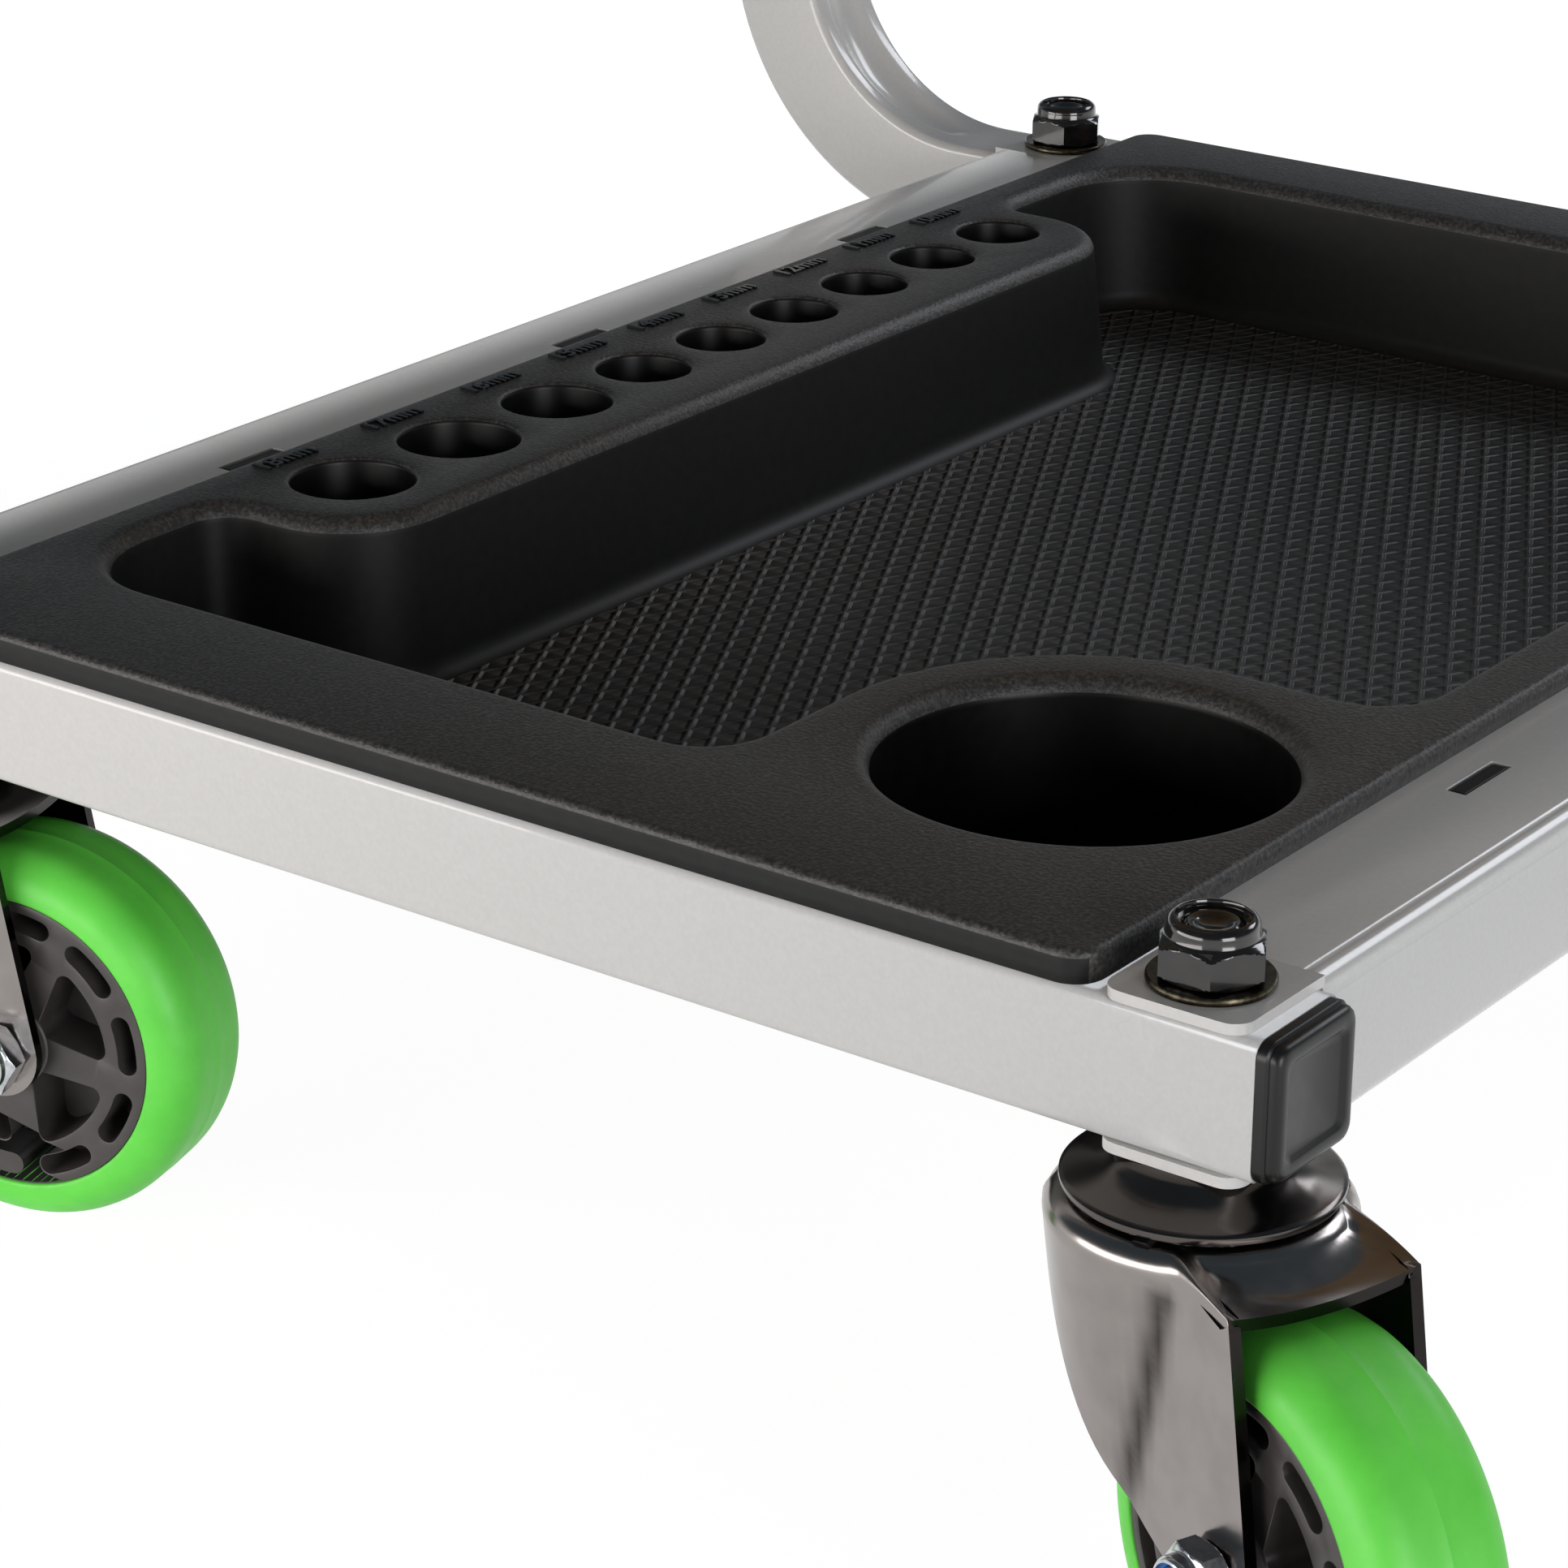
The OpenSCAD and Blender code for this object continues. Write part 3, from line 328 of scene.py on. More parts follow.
def extrude_line(bm, verts, points, closed=True):
    """Extrudes a line of vertices, and puts the new line on the points."""
    made = bmesh.ops.extrude_edge_only(bm, edges=edges_of(bm, verts, closed))["geom"]
    fresh = {v for v in made if isinstance(v, bmesh.types.BMVert)}
    moved = []
    for vert, point in zip(verts, points):
        twin = next(e.other_vert(vert) for e in vert.link_edges if e.other_vert(vert) in fresh)
        twin.co = point
        moved.append(twin)
    return moved


def loft(bm, lines, closed=True):
    """A skin through lines of as many points each. Gives back every line of vertices."""
    made = [line(bm, lines[0], closed)]
    for points in lines[1:]:
        made.append(extrude_line(bm, made[-1], points, closed))
    return made


def cap(bm, *rings):
    """Fills a ring of vertices, or the sheet between several."""
    bmesh.ops.triangle_fill(bm, use_beauty=True, use_dissolve=False,
                            edges=[edge for ring in rings for edge in edges_of(bm, ring)])


def rod(bm, lines):
    """A loft with both ends filled."""
    for ring in loft(bm, lines)[::len(lines) - 1]:
        cap(bm, ring)


def hoop(bm, lines):
    """A loft whose last ring is joined to its first."""
    rings = loft(bm, lines)
    bmesh.ops.bridge_loops(bm, edges=edges_of(bm, rings[0]) + edges_of(bm, rings[-1]))
    return rings


def lathe(bm, profile, steps=64, closed=True):
    """Turns a profile of (radius, height) points round Z."""
    verts = line(bm, [(r, 0, z) for r, z in profile], closed)
    bmesh.ops.spin(bm, geom=verts + edges_of(bm, verts, closed), axis=(0, 0, 1), cent=(0, 0, 0),
                   angle=2 * pi, steps=steps, use_merge=True)


def arc(x, y, r, start, end, steps):
    turns = [radians(start + (end - start) * i / steps) for i in range(steps + 1)]
    return [(x + r * cos(t), y + r * sin(t)) for t in turns]


def outline(corners, inset=0.0):
    """Points round a list of corners (x, y, radius, start, end, sense, steps), drawn in by a distance."""
    return [p for x, y, r, start, end, sense, steps in corners
            for p in arc(x, y, r - sense * inset, start, end, steps)]


def box_corners(half_x, half_y, r, steps):
    return [(a * (half_x - r), b * (half_y - r), r, turn, turn + 90, 1, steps)
            for a, b, turn in ((1, 1, 0), (-1, 1, 90), (-1, -1, 180), (1, -1, 270))]


def piece(bm, name, body, nodes, materials, place=PLACE, sharp=40.0, wrong=None, solid=0.0,
          even=True, inner=0, bevel=0.0, rounds=2):
    """Makes a mesh object of a bmesh in millimetres, puts it in its place and hangs it on its body.

    wrong gives the faces that look inward. solid is the thickness of a sheet, and inner the step to the
    material of its inside. bevel is the width of the edges and rounds their number of facets.
    """
    bmesh.ops.remove_doubles(bm, verts=bm.verts, dist=1e-4)
    bmesh.ops.recalc_face_normals(bm, faces=bm.faces)
    if wrong:
        bmesh.ops.reverse_faces(bm, faces=wrong(bm))
    mesh = bpy.data.meshes.new(name)
    bm.to_mesh(mesh)
    bm.free()
    mesh.transform(place)
    for material in materials:
        mesh.materials.append(material)
    mesh.shade_smooth()
    mesh.set_sharp_from_angle(angle=radians(sharp))
    thing = show(name, mesh)
    if solid:
        wall = thing.modifiers.new("wall", "SOLIDIFY")
        wall.thickness = solid * 0.001
        wall.offset = -1.0
        wall.use_even_offset = even
        wall.material_offset = wall.material_offset_rim = inner
    if bevel:
        edge = thing.modifiers.new("edge", "BEVEL")
        edge.width = bevel * 0.001
        edge.segments = rounds
        edge.limit_method = "ANGLE"
        edge.angle_limit = radians(50)
        edge.harden_normals = True
    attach(thing, body)
    if nodes:
        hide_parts(*nodes)
    return thing


def upside_down(bm):
    """Every face of an open skin, if its highest face looks down."""
    highest = max(bm.faces, key=lambda f: (round(f.calc_center_median().z, 3), f.calc_area()))
    return [] if highest.normal.z > 0 else bm.faces[:]


# Tray


HALF_W, HALF_L = 137.75, 223.5
BIN_LEFT, BIN_LEFT_FAR, BIN_RIGHT = -126.0, -126.75, 123.75
BIN_NEAR, BIN_FAR = -188.8, 196.3
BLOCK_EDGE, BLOCK_HALF = -88.75, 141.0
CUP_X, CUP_Y, CUP_R, CUP_REACH, CUP_DEPTH, CUP_FOOT = 90.35, -151.5, 38.0, 53.0, 45.0, 3
RIM_ROUND, FLOOR_ROUND, BIN_DEPTH, DRAFT = 4.0, 4.5, 35.5, tan(radians(6))
SOCKETS = [26, 26, 24, 21, 20, 20, 20, 20, 20]
SOCKET_X, SOCKET_DEPTH = -113.55, 30.0
SOCKET_Y = [-115.1, -81.4, -48.7, -18.5, 9.7, 37.4, 65.1, 92.8, 120.5]
TRAY_PLACE = PLACE @ Matrix.Translation((MID_X, MID_Y, RIM_Z))

BIN = [
    (BIN_LEFT + 26, BIN_NEAR + 26, 26, 180, 270, 1, 12),
    (CUP_X - CUP_REACH - 12, BIN_NEAR + 12, 12, 270, 360, 1, 8),
    (CUP_X, CUP_Y, CUP_REACH, 180, 90, -1, 20),
    (BIN_RIGHT - 12, CUP_Y + CUP_REACH + 12, 12, 270, 360, 1, 8),
    (BIN_RIGHT - 18, BIN_FAR - 18, 18, 0, 90, 1, 10),
    (BIN_LEFT_FAR + 26, BIN_FAR - 26, 26, 90, 180, 1, 12),
    (BIN_LEFT_FAR + 9, BLOCK_HALF + 9, 9, 180, 270, 1, 7),
    (BLOCK_EDGE - 22, BLOCK_HALF - 22, 22, 90, 0, -1, 10),
    (BLOCK_EDGE - 22, 22 - BLOCK_HALF, 22, 0, -90, -1, 10),
    (BIN_LEFT + 9, -BLOCK_HALF - 9, 9, 90, 180, 1, 7),
]


def tray_edge(inset, level):
    """The outer outline of the tray, with a step on each long side where the rail starts."""
    corners = box_corners(HALF_W, HALF_L, 6, 8)
    side = HALF_W - inset
    over_tube = MID_Y - TUBE / 2
    points = [(*p, level(p[1])) for p in outline(corners[:2], inset)]
    points += [(-side, y, level(y)) for y in (over_tube, over_tube - 0.4, 0.4 - over_tube, -over_tube)]
    points += [(*p, level(p[1])) for p in outline(corners[2:], inset)]
    return points + [(side, y, level(y)) for y in (-over_tube, 0.4 - over_tube, over_tube - 0.4, over_tube)]


def tray():
    bm = bmesh.new()
    edge = 1.5
    rims = [line(bm, tray_edge(edge, lambda y: 0))]
    edge_verts = rims[0]
    for turn in (22, 45, 68, 90):
        inset, drop = edge * (1 - sin(radians(turn))), edge * (1 - cos(radians(turn)))
        edge_verts = extrude_line(bm, edge_verts, tray_edge(inset, lambda y: -drop))
    # The skirt hangs 6 mm over the tubes and stops on the rails between them.
    extrude_line(bm, edge_verts, tray_edge(0, lambda y: -6.0 if abs(y) > MID_Y - TUBE / 2 - 0.1 else -4.0))

    foot = BIN_DEPTH - FLOOR_ROUND
    lean = (foot - RIM_ROUND) * DRAFT
    turns = [radians(a) for a in range(0, 91, 15)]
    levels = [(-RIM_ROUND * (1 - cos(t)), -RIM_ROUND * (1 - sin(t))) for t in turns]
    levels += [(-foot - FLOOR_ROUND * sin(t), lean + FLOOR_ROUND * (1 - cos(t))) for t in turns]
    rings = loft(bm, [[(x, y, z) for x, y in outline(BIN, inset)] for z, inset in levels])
    rims.append(rings[0])
    cap(bm, rings[-1])

    def well(x, y, profile, steps):
        circles = [[(*p, z) for p in arc(x, y, r, 0, 360 - 360 / steps, steps - 1)] for r, z in profile]
        rings = loft(bm, circles)
        rims.append(rings[0])
        cap(bm, rings[-1])

    cup = [(CUP_R + RIM_ROUND * (1 - sin(t)), -RIM_ROUND * (1 - cos(t))) for t in turns]
    cup += [(CUP_R - CUP_FOOT * (1 - cos(t)), CUP_FOOT - CUP_DEPTH - CUP_FOOT * sin(t)) for t in turns[::2]]
    well(CUP_X, CUP_Y, cup, 96)
    for wide, y in zip(SOCKETS, SOCKET_Y):
        r = wide / 2
        mouth = [(r + 1.2, 0), (r + 0.7, -0.15), (r + 0.25, -0.55), (r, -1.3)]
        well(SOCKET_X, y, mouth + [(r - 0.3, 1.5 - SOCKET_DEPTH), (r - 1.5, -SOCKET_DEPTH)], 40)
    cap(bm, *rims)
    wall_slot, floor_slot, shaded_well_slot = 1, 2, 3
    for face in bm.faces:
        x, y, z = face.calc_center_median()
        in_cup = (x - CUP_X) ** 2 + (y - CUP_Y) ** 2 < (CUP_R + 1) ** 2
        on_block = 3 - HALF_W < x < SOCKET_X + 13 and abs(y) < BLOCK_HALF - 8
        # The sockets and the cup below their rims take the black of painted shade.
        if (on_block and z < -0.9) or (in_cup and z < -3.2):
            face.material_index = shaded_well_slot
        elif z < 0.2 - BIN_DEPTH:
            face.material_index = floor_slot
        elif z < -3.2 and abs(x) < HALF_W - 1:
            face.material_index = wall_slot
    return piece(bm, "tray_moulding", "frame", ["tray"], [STIPPLE, SATIN, LOZENGE, WELL_PAINTED_SHADE],
                 TRAY_PLACE, wrong=upside_down, solid=2.5)


def tray_clips():
    """Tongues that pass the edge of each rail flange and stand up in its slots."""
    bm = bmesh.new()
    # Under the flange, up inside the tray, and up in the slot: from x, to x, and up to z.
    bars = ((131.8, 148.0, -6.4), (131.8, 134.3, -2.6), (144.8, 148.0, -4.1))
    low_z, wide = -8.9, 16.0
    for side in (-1, 1):
        for i in (-1, 0, 1):
            for low_x, high_x, high_z in bars:
                size = (high_x - low_x, wide, high_z - low_z)
                centre = (side * (low_x + high_x) / 2, i * SLOT_PITCH, (low_z + high_z) / 2)
                bmesh.ops.create_cube(
                    bm, size=1.0, matrix=Matrix.Translation(centre) @ Matrix.Diagonal((*size, 1)))
    return piece(bm, "tray_clips", "frame", ["tray"], [SATIN], TRAY_PLACE, bevel=0.4)


def socket_sizes():
    """Raised plain sizes beside the socket wells, read along the tray."""
    bm = bmesh.new()
    for size, y in zip(range(18, 9, -1), SOCKET_Y):
        curve = bpy.data.curves.new("size", "FONT")
        curve.body = "%dmm" % size
        curve.size = 6.6
        curve.extrude = 0.3
        curve.offset = 0.12
        curve.align_x = "CENTER"
        curve.resolution_u = 3
        writing = show("size", curve)
        shape = writing.evaluated_get(bpy.context.evaluated_depsgraph_get()).to_mesh()
        shape.transform(Matrix.Translation((-130.3, y, 0.3)) @ Matrix.Rotation(pi / 2, 4, "Z"))
        bm.from_mesh(shape)
        writing.to_mesh_clear()
        bpy.data.objects.remove(writing)
        bpy.data.curves.remove(curve)
    return piece(bm, "socket_sizes", "frame", [], [LETTERS], TRAY_PLACE)


# Frame


def tube_section(sunk):
    """The tube's outline as (towards the inside of the bend, across) points, its inner face pressed in."""
    half = TUBE / 2
    inner = []
    for i in range(1, 24):
        across = (half - TUBE_ROUND) * (2 * i / 24 - 1)
        dip = sunk - 9 + sqrt(max(0.0, 81 - across * across))
        inner.append((half - (dip + sqrt(dip * dip + 0.36)) / 2 * min(1.0, max(0.0, sunk)), across))
    # The rest starts at the high side of the inner face and goes round to its low side.
    return outline(box_corners(half, half, TUBE_ROUND, 5)) + inner


def tube(name, y, node):
    low_centre, high_centre = CASTER_HEIGHT + TUBE / 2 + BEND_R, UPPER_TOP - TUBE / 2 - BEND_R
    groove = BEND_R - TUBE / 2
    shift = 3.5 / (1 - cos(radians(45)))
    reach = groove + 3.5 - shift

    def sunk(turn):
        """How far the groove is pressed in, at a turn from the middle of the bend."""
        t = radians(turn)
        return max(0.0, shift * cos(t) + sqrt(reach ** 2 - (shift * sin(t)) ** 2) - groove)

    stations = [(Vector((16, 0, CASTER_HEIGHT + TUBE / 2)), Vector((0, 0, 1)), 0.0)]
    for centre_z, start in ((low_centre, 270), (high_centre, 180)):
        for i in range(31):
            turn = start - 3.0 * i
            out = Vector((cos(radians(turn)), 0, sin(radians(turn))))
            stations.append((Vector((BEND_X, 0, centre_z)) + BEND_R * out, -out, sunk(turn - start + 45)))
    stations.append((Vector((0, 0, UPPER_TOP - TUBE / 2)), Vector((0, 0, -1)), 0.0))
    lines = [[centre + a * inner + Vector((0, y + b, 0)) for a, b in tube_section(depth)]
             for centre, inner, depth in stations]
    bm = bmesh.new()
    loft(bm, lines)
    return piece(bm, name, "frame", [node], [POWDER], sharp=50, wrong=upside_down,
                 solid=TUBE_WALL)


def rail(name, node, mirrored):
    """A pressed channel with a slotted flange, and tabs that lap over and under the tubes."""
    bm = bmesh.new()
    top, bottom, web, fold = TUBE_TOP + SHEET, CASTER_HEIGHT - SHEET, 13.7, 3.5
    slot_low, slot_high, lip = web - 23.3, web - 19.3, web - 33
    # The fold lies 0.4 mm lower than the faces beside it, where the press dies marked the sheet.
    mark = 0.4
    section = [(lip, top), (slot_low, top), (slot_high, top), (web - fold - 1.1, top),
               (web - fold - 0.8, top - 0.12)]
    section += arc(web - fold, top - fold, fold - mark, 97, -7, 10)
    section += [(web - 0.12, top - fold - 1.0), (web, top - fold - 1.3), (web, bottom + fold)]
    section += arc(web - fold, bottom + fold, fold, 350, 270, 5) + [(web - 28, bottom)]
    slots = [MID_Y + i * SLOT_PITCH for i in (-1, 0, 1)]
    start = 12.8
    stations = [start] + sorted(y + s * SLOT_HALF for y in slots for s in (-1, 1)) + [SPAN_Y - start]
    loft(bm, [[(x, y, z) for x, z in section] for y in stations], closed=False)
    holes = []
    for face in bm.faces:
        x, y, z = face.calc_center_median()
        if slot_low < x < slot_high and z > top - 0.1 and any(abs(y - slot) < SLOT_HALF for slot in slots):
            holes.append(face)
    bmesh.ops.delete(bm, geom=holes, context="FACES")
    # Tabs over and under both tubes, on the stem side of the fold.
    tab = arc(-9.5, -8.5, 4, 180, 270, 6) + arc(9.5, -8.5, 4, 270, 360, 6) + [(13.5, start), (-13.5, start)]
    for z in (top, bottom):
        for far in (False, True):
            cap(bm, line(bm, [(x, SPAN_Y - y if far else y, z) for x, y in tab]))
    if mirrored:
        bmesh.ops.scale(bm, vec=(-1, 1, 1), verts=bm.verts)
        bmesh.ops.translate(bm, vec=(-SPAN_X, 0, 0), verts=bm.verts)

    def looks_in(bm):
        """The faces that look to the middle of the channel."""
        middle = Vector((-SPAN_X if mirrored else 0.0, 0, (top + bottom) / 2))
        flat = Vector((1, 0, 1))
        return [f for f in bm.faces if f.normal.dot((f.calc_center_median() - middle) * flat) < 0]

    return piece(bm, name, "frame", [node], [POWDER], wrong=looks_in, solid=SHEET,
                 even=False, bevel=0.6, rounds=3)


def end_cap(name, x, y, z, node):
    """A tube cap: stepped flange, raised rim, and a panel sunk inside it."""
    bm = bmesh.new()
    # How far out, half the width, and the radius of the corners.
    steps = [(-7, 10.4, 1.0), (-0.3, 10.4, 1.0), (0, 12.2, 2.6), (0.25, 12.5, 3.0), (1.9, 12.5, 3.0),
             (2.15, 12.3, 2.8), (2.35, 11.95, 2.6), (2.55, 12.0, 2.6), (3.3, 12.0, 2.8), (3.9, 11.75, 2.8),
             (4.3, 11.3, 2.6), (4.5, 10.7, 2.4), (4.5, 9.3, 2.2), (4.35, 9.0, 2.1), (3.8, 8.3, 1.8),
             (3.65, 7.9, 1.6)]
    rod(bm, [[(x + out, y + a, z + b) for a, b in outline(box_corners(half, half, r, 5))]
             for out, half, r in steps])
    return piece(bm, name, "frame", [node], [CAP], sharp=35)


# Fasteners


def nut_rings(flats, height, bore):
    """Rings of a self-locking nut: (height, cone radius, whether the hexagon cuts it)."""
    a = flats / 2
    corner = a / cos(pi / 6)
    slope = 0.6
    chamfer = (corner - 0.96 * a) * slope
    hexagon_top = 0.66 * height
    rings = [(chamfer * i / 4, 0.96 * a + (corner - 0.96 * a) * i / 4, True) for i in range(5)]
    rings += [(hexagon_top - chamfer * (4 - i) / 4, corner - (corner - 0.96 * a) * i / 4, True)
              for i in range(5)]
    lip = bore + 0.13 * a
    collar = [(0.68, 0.92 * a), (0.71, 0.9 * a), (0.84, 0.9 * a), (0.91, 0.885 * a), (0.965, 0.84 * a),
              (0.995, 0.78 * a), (1, 0.745 * a), (0.985, lip + 0.02 * a), (0.95, lip), (0.88, lip - 0.01),
              (0.87, lip - 0.05 * a), (0.87, bore + 0.15), (0.84, bore)]
    rings += [(height * part, r, False) for part, r in collar]
    return rings + [(0.02, bore, False), (0, bore + 0.1, False)]


def nut_ring(flats, z, r, cut, centre=(0, 0, 0), steps=72):
    """Points round Z at a height and radius, cut by the six flats or left round."""
    ring = []
    for i in range(steps):
        turn = 360 / steps * i
        q = min(r, flats / 2 / cos(radians(turn % 60 - 30))) if cut else r
        ring.append((centre[0] + q * cos(radians(turn)), centre[1] + q * sin(radians(turn)), centre[2] + z))
    return ring


def lock_nut(bm, flats, height, bore, centre=(0, 0, 0), insert=False):
    rings = hoop(bm, [nut_ring(flats, z, r, cut, centre) for z, r, cut in nut_rings(flats, height, bore)])
    if insert:
        for vert in rings[-5] + rings[-4]:
            for face in vert.link_faces:
                face.material_index = 1


def stem_nuts():
    bm = bmesh.new()
    for (x, y), _, _ in CASTERS.values():
        lock_nut(bm, 17, 10, 5.08, (x, y, TUBE_TOP + SHEET + WASHER))
    return piece(bm, "stem_lock_nuts", "frame", ["stem_nuts"], [BLACK_ZINC], sharp=32)


def stem_washers():
    bm = bmesh.new()
    lathe(bm, [(5.25, 0.2), (5.45, 0), (10.35, 0), (10.65, 0.15), (10.75, 0.5), (10.72, 1.1),
               (10.4, WASHER), (5.6, WASHER), (5.25, 1.2)], 64)
    first = bm.verts[:] + bm.edges[:] + bm.faces[:]
    for (x, y), _, _ in list(CASTERS.values())[1:]:
        copy = bmesh.ops.duplicate(bm, geom=first)["geom"]
        verts = [v for v in copy if isinstance(v, bmesh.types.BMVert)]
        bmesh.ops.translate(bm, vec=(x + SPAN_X, y, 0), verts=verts)
    bmesh.ops.translate(bm, vec=(-SPAN_X, 0, TUBE_TOP + SHEET), verts=bm.verts)
    return piece(bm, "stem_ring_washers", "frame", ["stem_washers"], [YELLOW_ZINC],
                 sharp=50)


# Casters


def stem(name):
    """The threaded stem and kingpin: black where it ends in the nut, bright zinc below."""
    bm = bmesh.new()
    top = TUBE + SHEET + WASHER + 9
    head = -17.9
    lathe(bm, [(0, top - 0.9), (1.8, top - 0.85), (2.9, top - 0.35), (3.4, top), (4.2, top), (5, top - 0.8),
               (5, head), (12.5, head), (12.5, head - 1.4), (12.1, head - 2.1), (11.4, head - 2.4),
               (0, head - 2.4)], 48, closed=False)
    for face in bm.faces:
        face.material_index = 1 if face.calc_center_median().z < TUBE else 0
    return piece(bm, name + "_kingpin", "frame", [name + "_stem"], [BLACK_ZINC, ZINC],
                 caster_place(name))


def race(name):
    """The upper race: a dish with a flat seat under the tube and a turned-down rim."""
    bm = bmesh.new()
    lathe(bm, [(5.1, -2), (12.6, -2), (13.9, -2.2), (15, -2.8), (16, -3.8), (17.2, -4.8), (18.8, -5.6),
               (20.8, -6.3), (22.6, -6.75), (23.2, -6.95), (23.55, -7.3), (23.6, -7.9), (23.4, -8.5),
               (23.0, -8.6), (22.6, -8.3), (22.0, -7.9), (15.5, -7.8), (12, -4.3), (5.1, -4.3)], 80)
    return piece(bm, name + "_upper_race", "frame", [name + "_race"], [RACE],
                 caster_place(name), sharp=35)


CROWN_R, SHOULDER, SHOULDER_TOP, LEG_FACE = 26.0, 4.2, -9.5, 19.0
TRACK = [(6.0, -12.4), (13.0, -12.4), (19.2, -12.4), (20.0, -11.7), (20.6, -10.5), (21.2, -9.75)]
TAPER = 0.115
LEG_END, FRONT_LEAN, BACK_TURN = 9.4, 10.0, -145.0
WEB_SIDE, WEB_SAG = -13.4, 1.9
REAR_FOOT = Vector((TRAIL, AXLE_Z)) + LEG_END * Vector((cos(radians(BACK_TURN)), sin(radians(BACK_TURN))))
REAR_EDGE = [Vector((-17.3, -14.0)), Vector((-11.0, -27.0)), Vector((1.0, -60.0)), REAR_FOOT]
LIP_X = TRAIL + LEG_END * cos(radians(FRONT_LEAN)) - tan(radians(FRONT_LEAN)) * (WEB_SIDE - AXLE_Z)


def shell_radius(z):
    return CROWN_R - TAPER * max(0.0, SHOULDER_TOP - SHOULDER - z)


def fork_width(x, z):
    """Half width of the fork: a shell that tapers downwards, flat legs, and a soft valley between."""
    r = shell_radius(z)
    bulge = sqrt(max(0.0, r * r - x * x)) - LEG_FACE
    leg_dip = 0.0 if x < 8 else min(0.25, (x - 8) * 0.03)
    return LEG_FACE + (bulge + sqrt(bulge * bulge + 1.2)) / 2 - leg_dip


def rear_edge(t):
    weights = [(1 - t) ** (3 - k) * t ** k * (1, 3, 3, 1)[k] for k in range(4)]
    return sum((weight * point for weight, point in zip(weights, REAR_EDGE)), Vector((0, 0)))


def fork_columns():
    """Where each line of a leg starts on the crown's edge and ends below: x above, then x and z below."""
    columns = [(rear_edge(i / 30).x, *rear_edge(i / 30)) for i in range(31)]
    for i in range(1, 19):
        turn = radians(BACK_TURN + (FRONT_LEAN - BACK_TURN) * i / 18)
        columns.append((REAR_FOOT.x + (LIP_X - REAR_FOOT.x) * (i / 18) ** 0.8,
                        TRAIL + LEG_END * cos(turn), AXLE_Z + LEG_END * sin(turn)))
    return columns


def crown_line(x, y):
    """From the kingpin out to the crown's edge: ball track, shoulder, web, and a round over the leg."""
    reach = sqrt(x * x + y * y)
    ux, uy = x / reach, y / reach
    leg_start = sqrt(CROWN_R ** 2 - LEG_FACE ** 2)
    on_leg = min(1.0, max(0.0, (x - leg_start) / (LIP_X - leg_start)))
    ease = min(1.0, 1.3 * on_leg)
    on_web = ease ** 2 * (3 - 2 * ease)
    at_lip = abs(y) < LEG_FACE - 0.01 and x > LIP_X - 0.01
    rounding = 0.0 if at_lip else SHOULDER * (1 - on_leg) ** 2 + 0.3 * on_leg
    sag = WEB_SAG * (1 - (y / LEG_FACE) ** 2) if at_lip else 0
    level = SHOULDER_TOP + (WEB_SIDE - SHOULDER_TOP) * on_leg - sag
    inner, middle_z = CROWN_R - SHOULDER, SHOULDER_TOP - SHOULDER
    path = list(TRACK)
    for i in range(9):
        t = radians(58 * on_web * i / 8)
        path.append((inner + SHOULDER * sin(t), middle_z + SHOULDER * cos(t)))
    start_r, start_z = path[-1]
    for i in range(1, 5):
        s = i / 4
        path.append((start_r + (reach - rounding - start_r) * s,
                     start_z + (level - start_z) * (1 - (1 - s) ** 2.4)))
    for i in range(1, 7):
        t = radians(90 * i / 6)
        path.append((reach - rounding * (1 - sin(t)), level - rounding * (1 - cos(t))))
    return [(ux * r, uy * r, z) for r, z in path]


def mark_painted_crease_shade(bm):
    """Marks the valley between the shell and each leg, where shade is painted dark."""
    marks = bm.verts.layers.float.new("painted_crease_shade")
    valley_top, valley_end, valley_wide = -14.5, -66, 1.9
    for vert in bm.verts:
        x, z = vert.co.x, vert.co.z
        r = shell_radius(z)
        if z < valley_top and r > LEG_FACE:
            away = (x - sqrt(r * r - LEG_FACE ** 2) - 0.2) / valley_wide
            fade = min(1.0, (valley_top - z) / 3.0) * min(1.0, max(0.0, (z - valley_end) / 16.0))
            # How much painted shade darkens the chrome here, highest in the middle of the valley.
            vert[marks] = 0.75 * fade * 2.0 ** (-away * away)


def fork(name):
    """The pressed fork: a round crown with its shoulder, a sagging web and two legs, in one sheet."""
    columns = fork_columns()
    # The crown's edge from the back round one side, then along the leg and across the front lip.
    back = 12
    first_turn = acos(REAR_EDGE[0].x / CROWN_R)
    turns = [pi - i * (pi - first_turn) / back for i in range(back)]
    side = [(CROWN_R * cos(t), CROWN_R * sin(t)) for t in turns]
    side += [(x, fork_width(x, SHOULDER_TOP - SHOULDER)) for x, _, _ in columns]
    side += [(LIP_X, LEG_FACE * (1 - i / 10)) for i in range(1, 11)]
    whole = side + [(x, -y) for x, y in reversed(side[1:-1])]
    bm = bmesh.new()
    lines = [crown_line(x, y) for x, y in whole]
    edge = loft(bm, [[p[k] for p in lines] for k in range(len(lines[0]))])[-1]
    rows = 26
    for way in (1, -1):
        indices = [way * i % len(whole) for i in range(back, back + len(columns))]
        verts = [edge[i] for i in indices]
        for row in range(1, rows + 1):
            s = row / rows
            points = []
            for i, (x_top, x_end, z_end) in zip(indices, columns):
                z_top = lines[i][-1][2]
                x, z = x_top + (x_end - x_top) * s, z_top + (z_end - z_top) * s
                points.append((x, way * fork_width(x, z), z))
            verts = extrude_line(bm, verts, points, closed=False)
    mark_painted_crease_shade(bm)
    return piece(bm, name + "_pressed_fork", name + "_swivel", [name + "_fork"],
                 [FORK, SHADED_INSIDE_CHROME], caster_place(name), sharp=50, wrong=upside_down, solid=2.3,
                 even=False, inner=1, bevel=0.5)


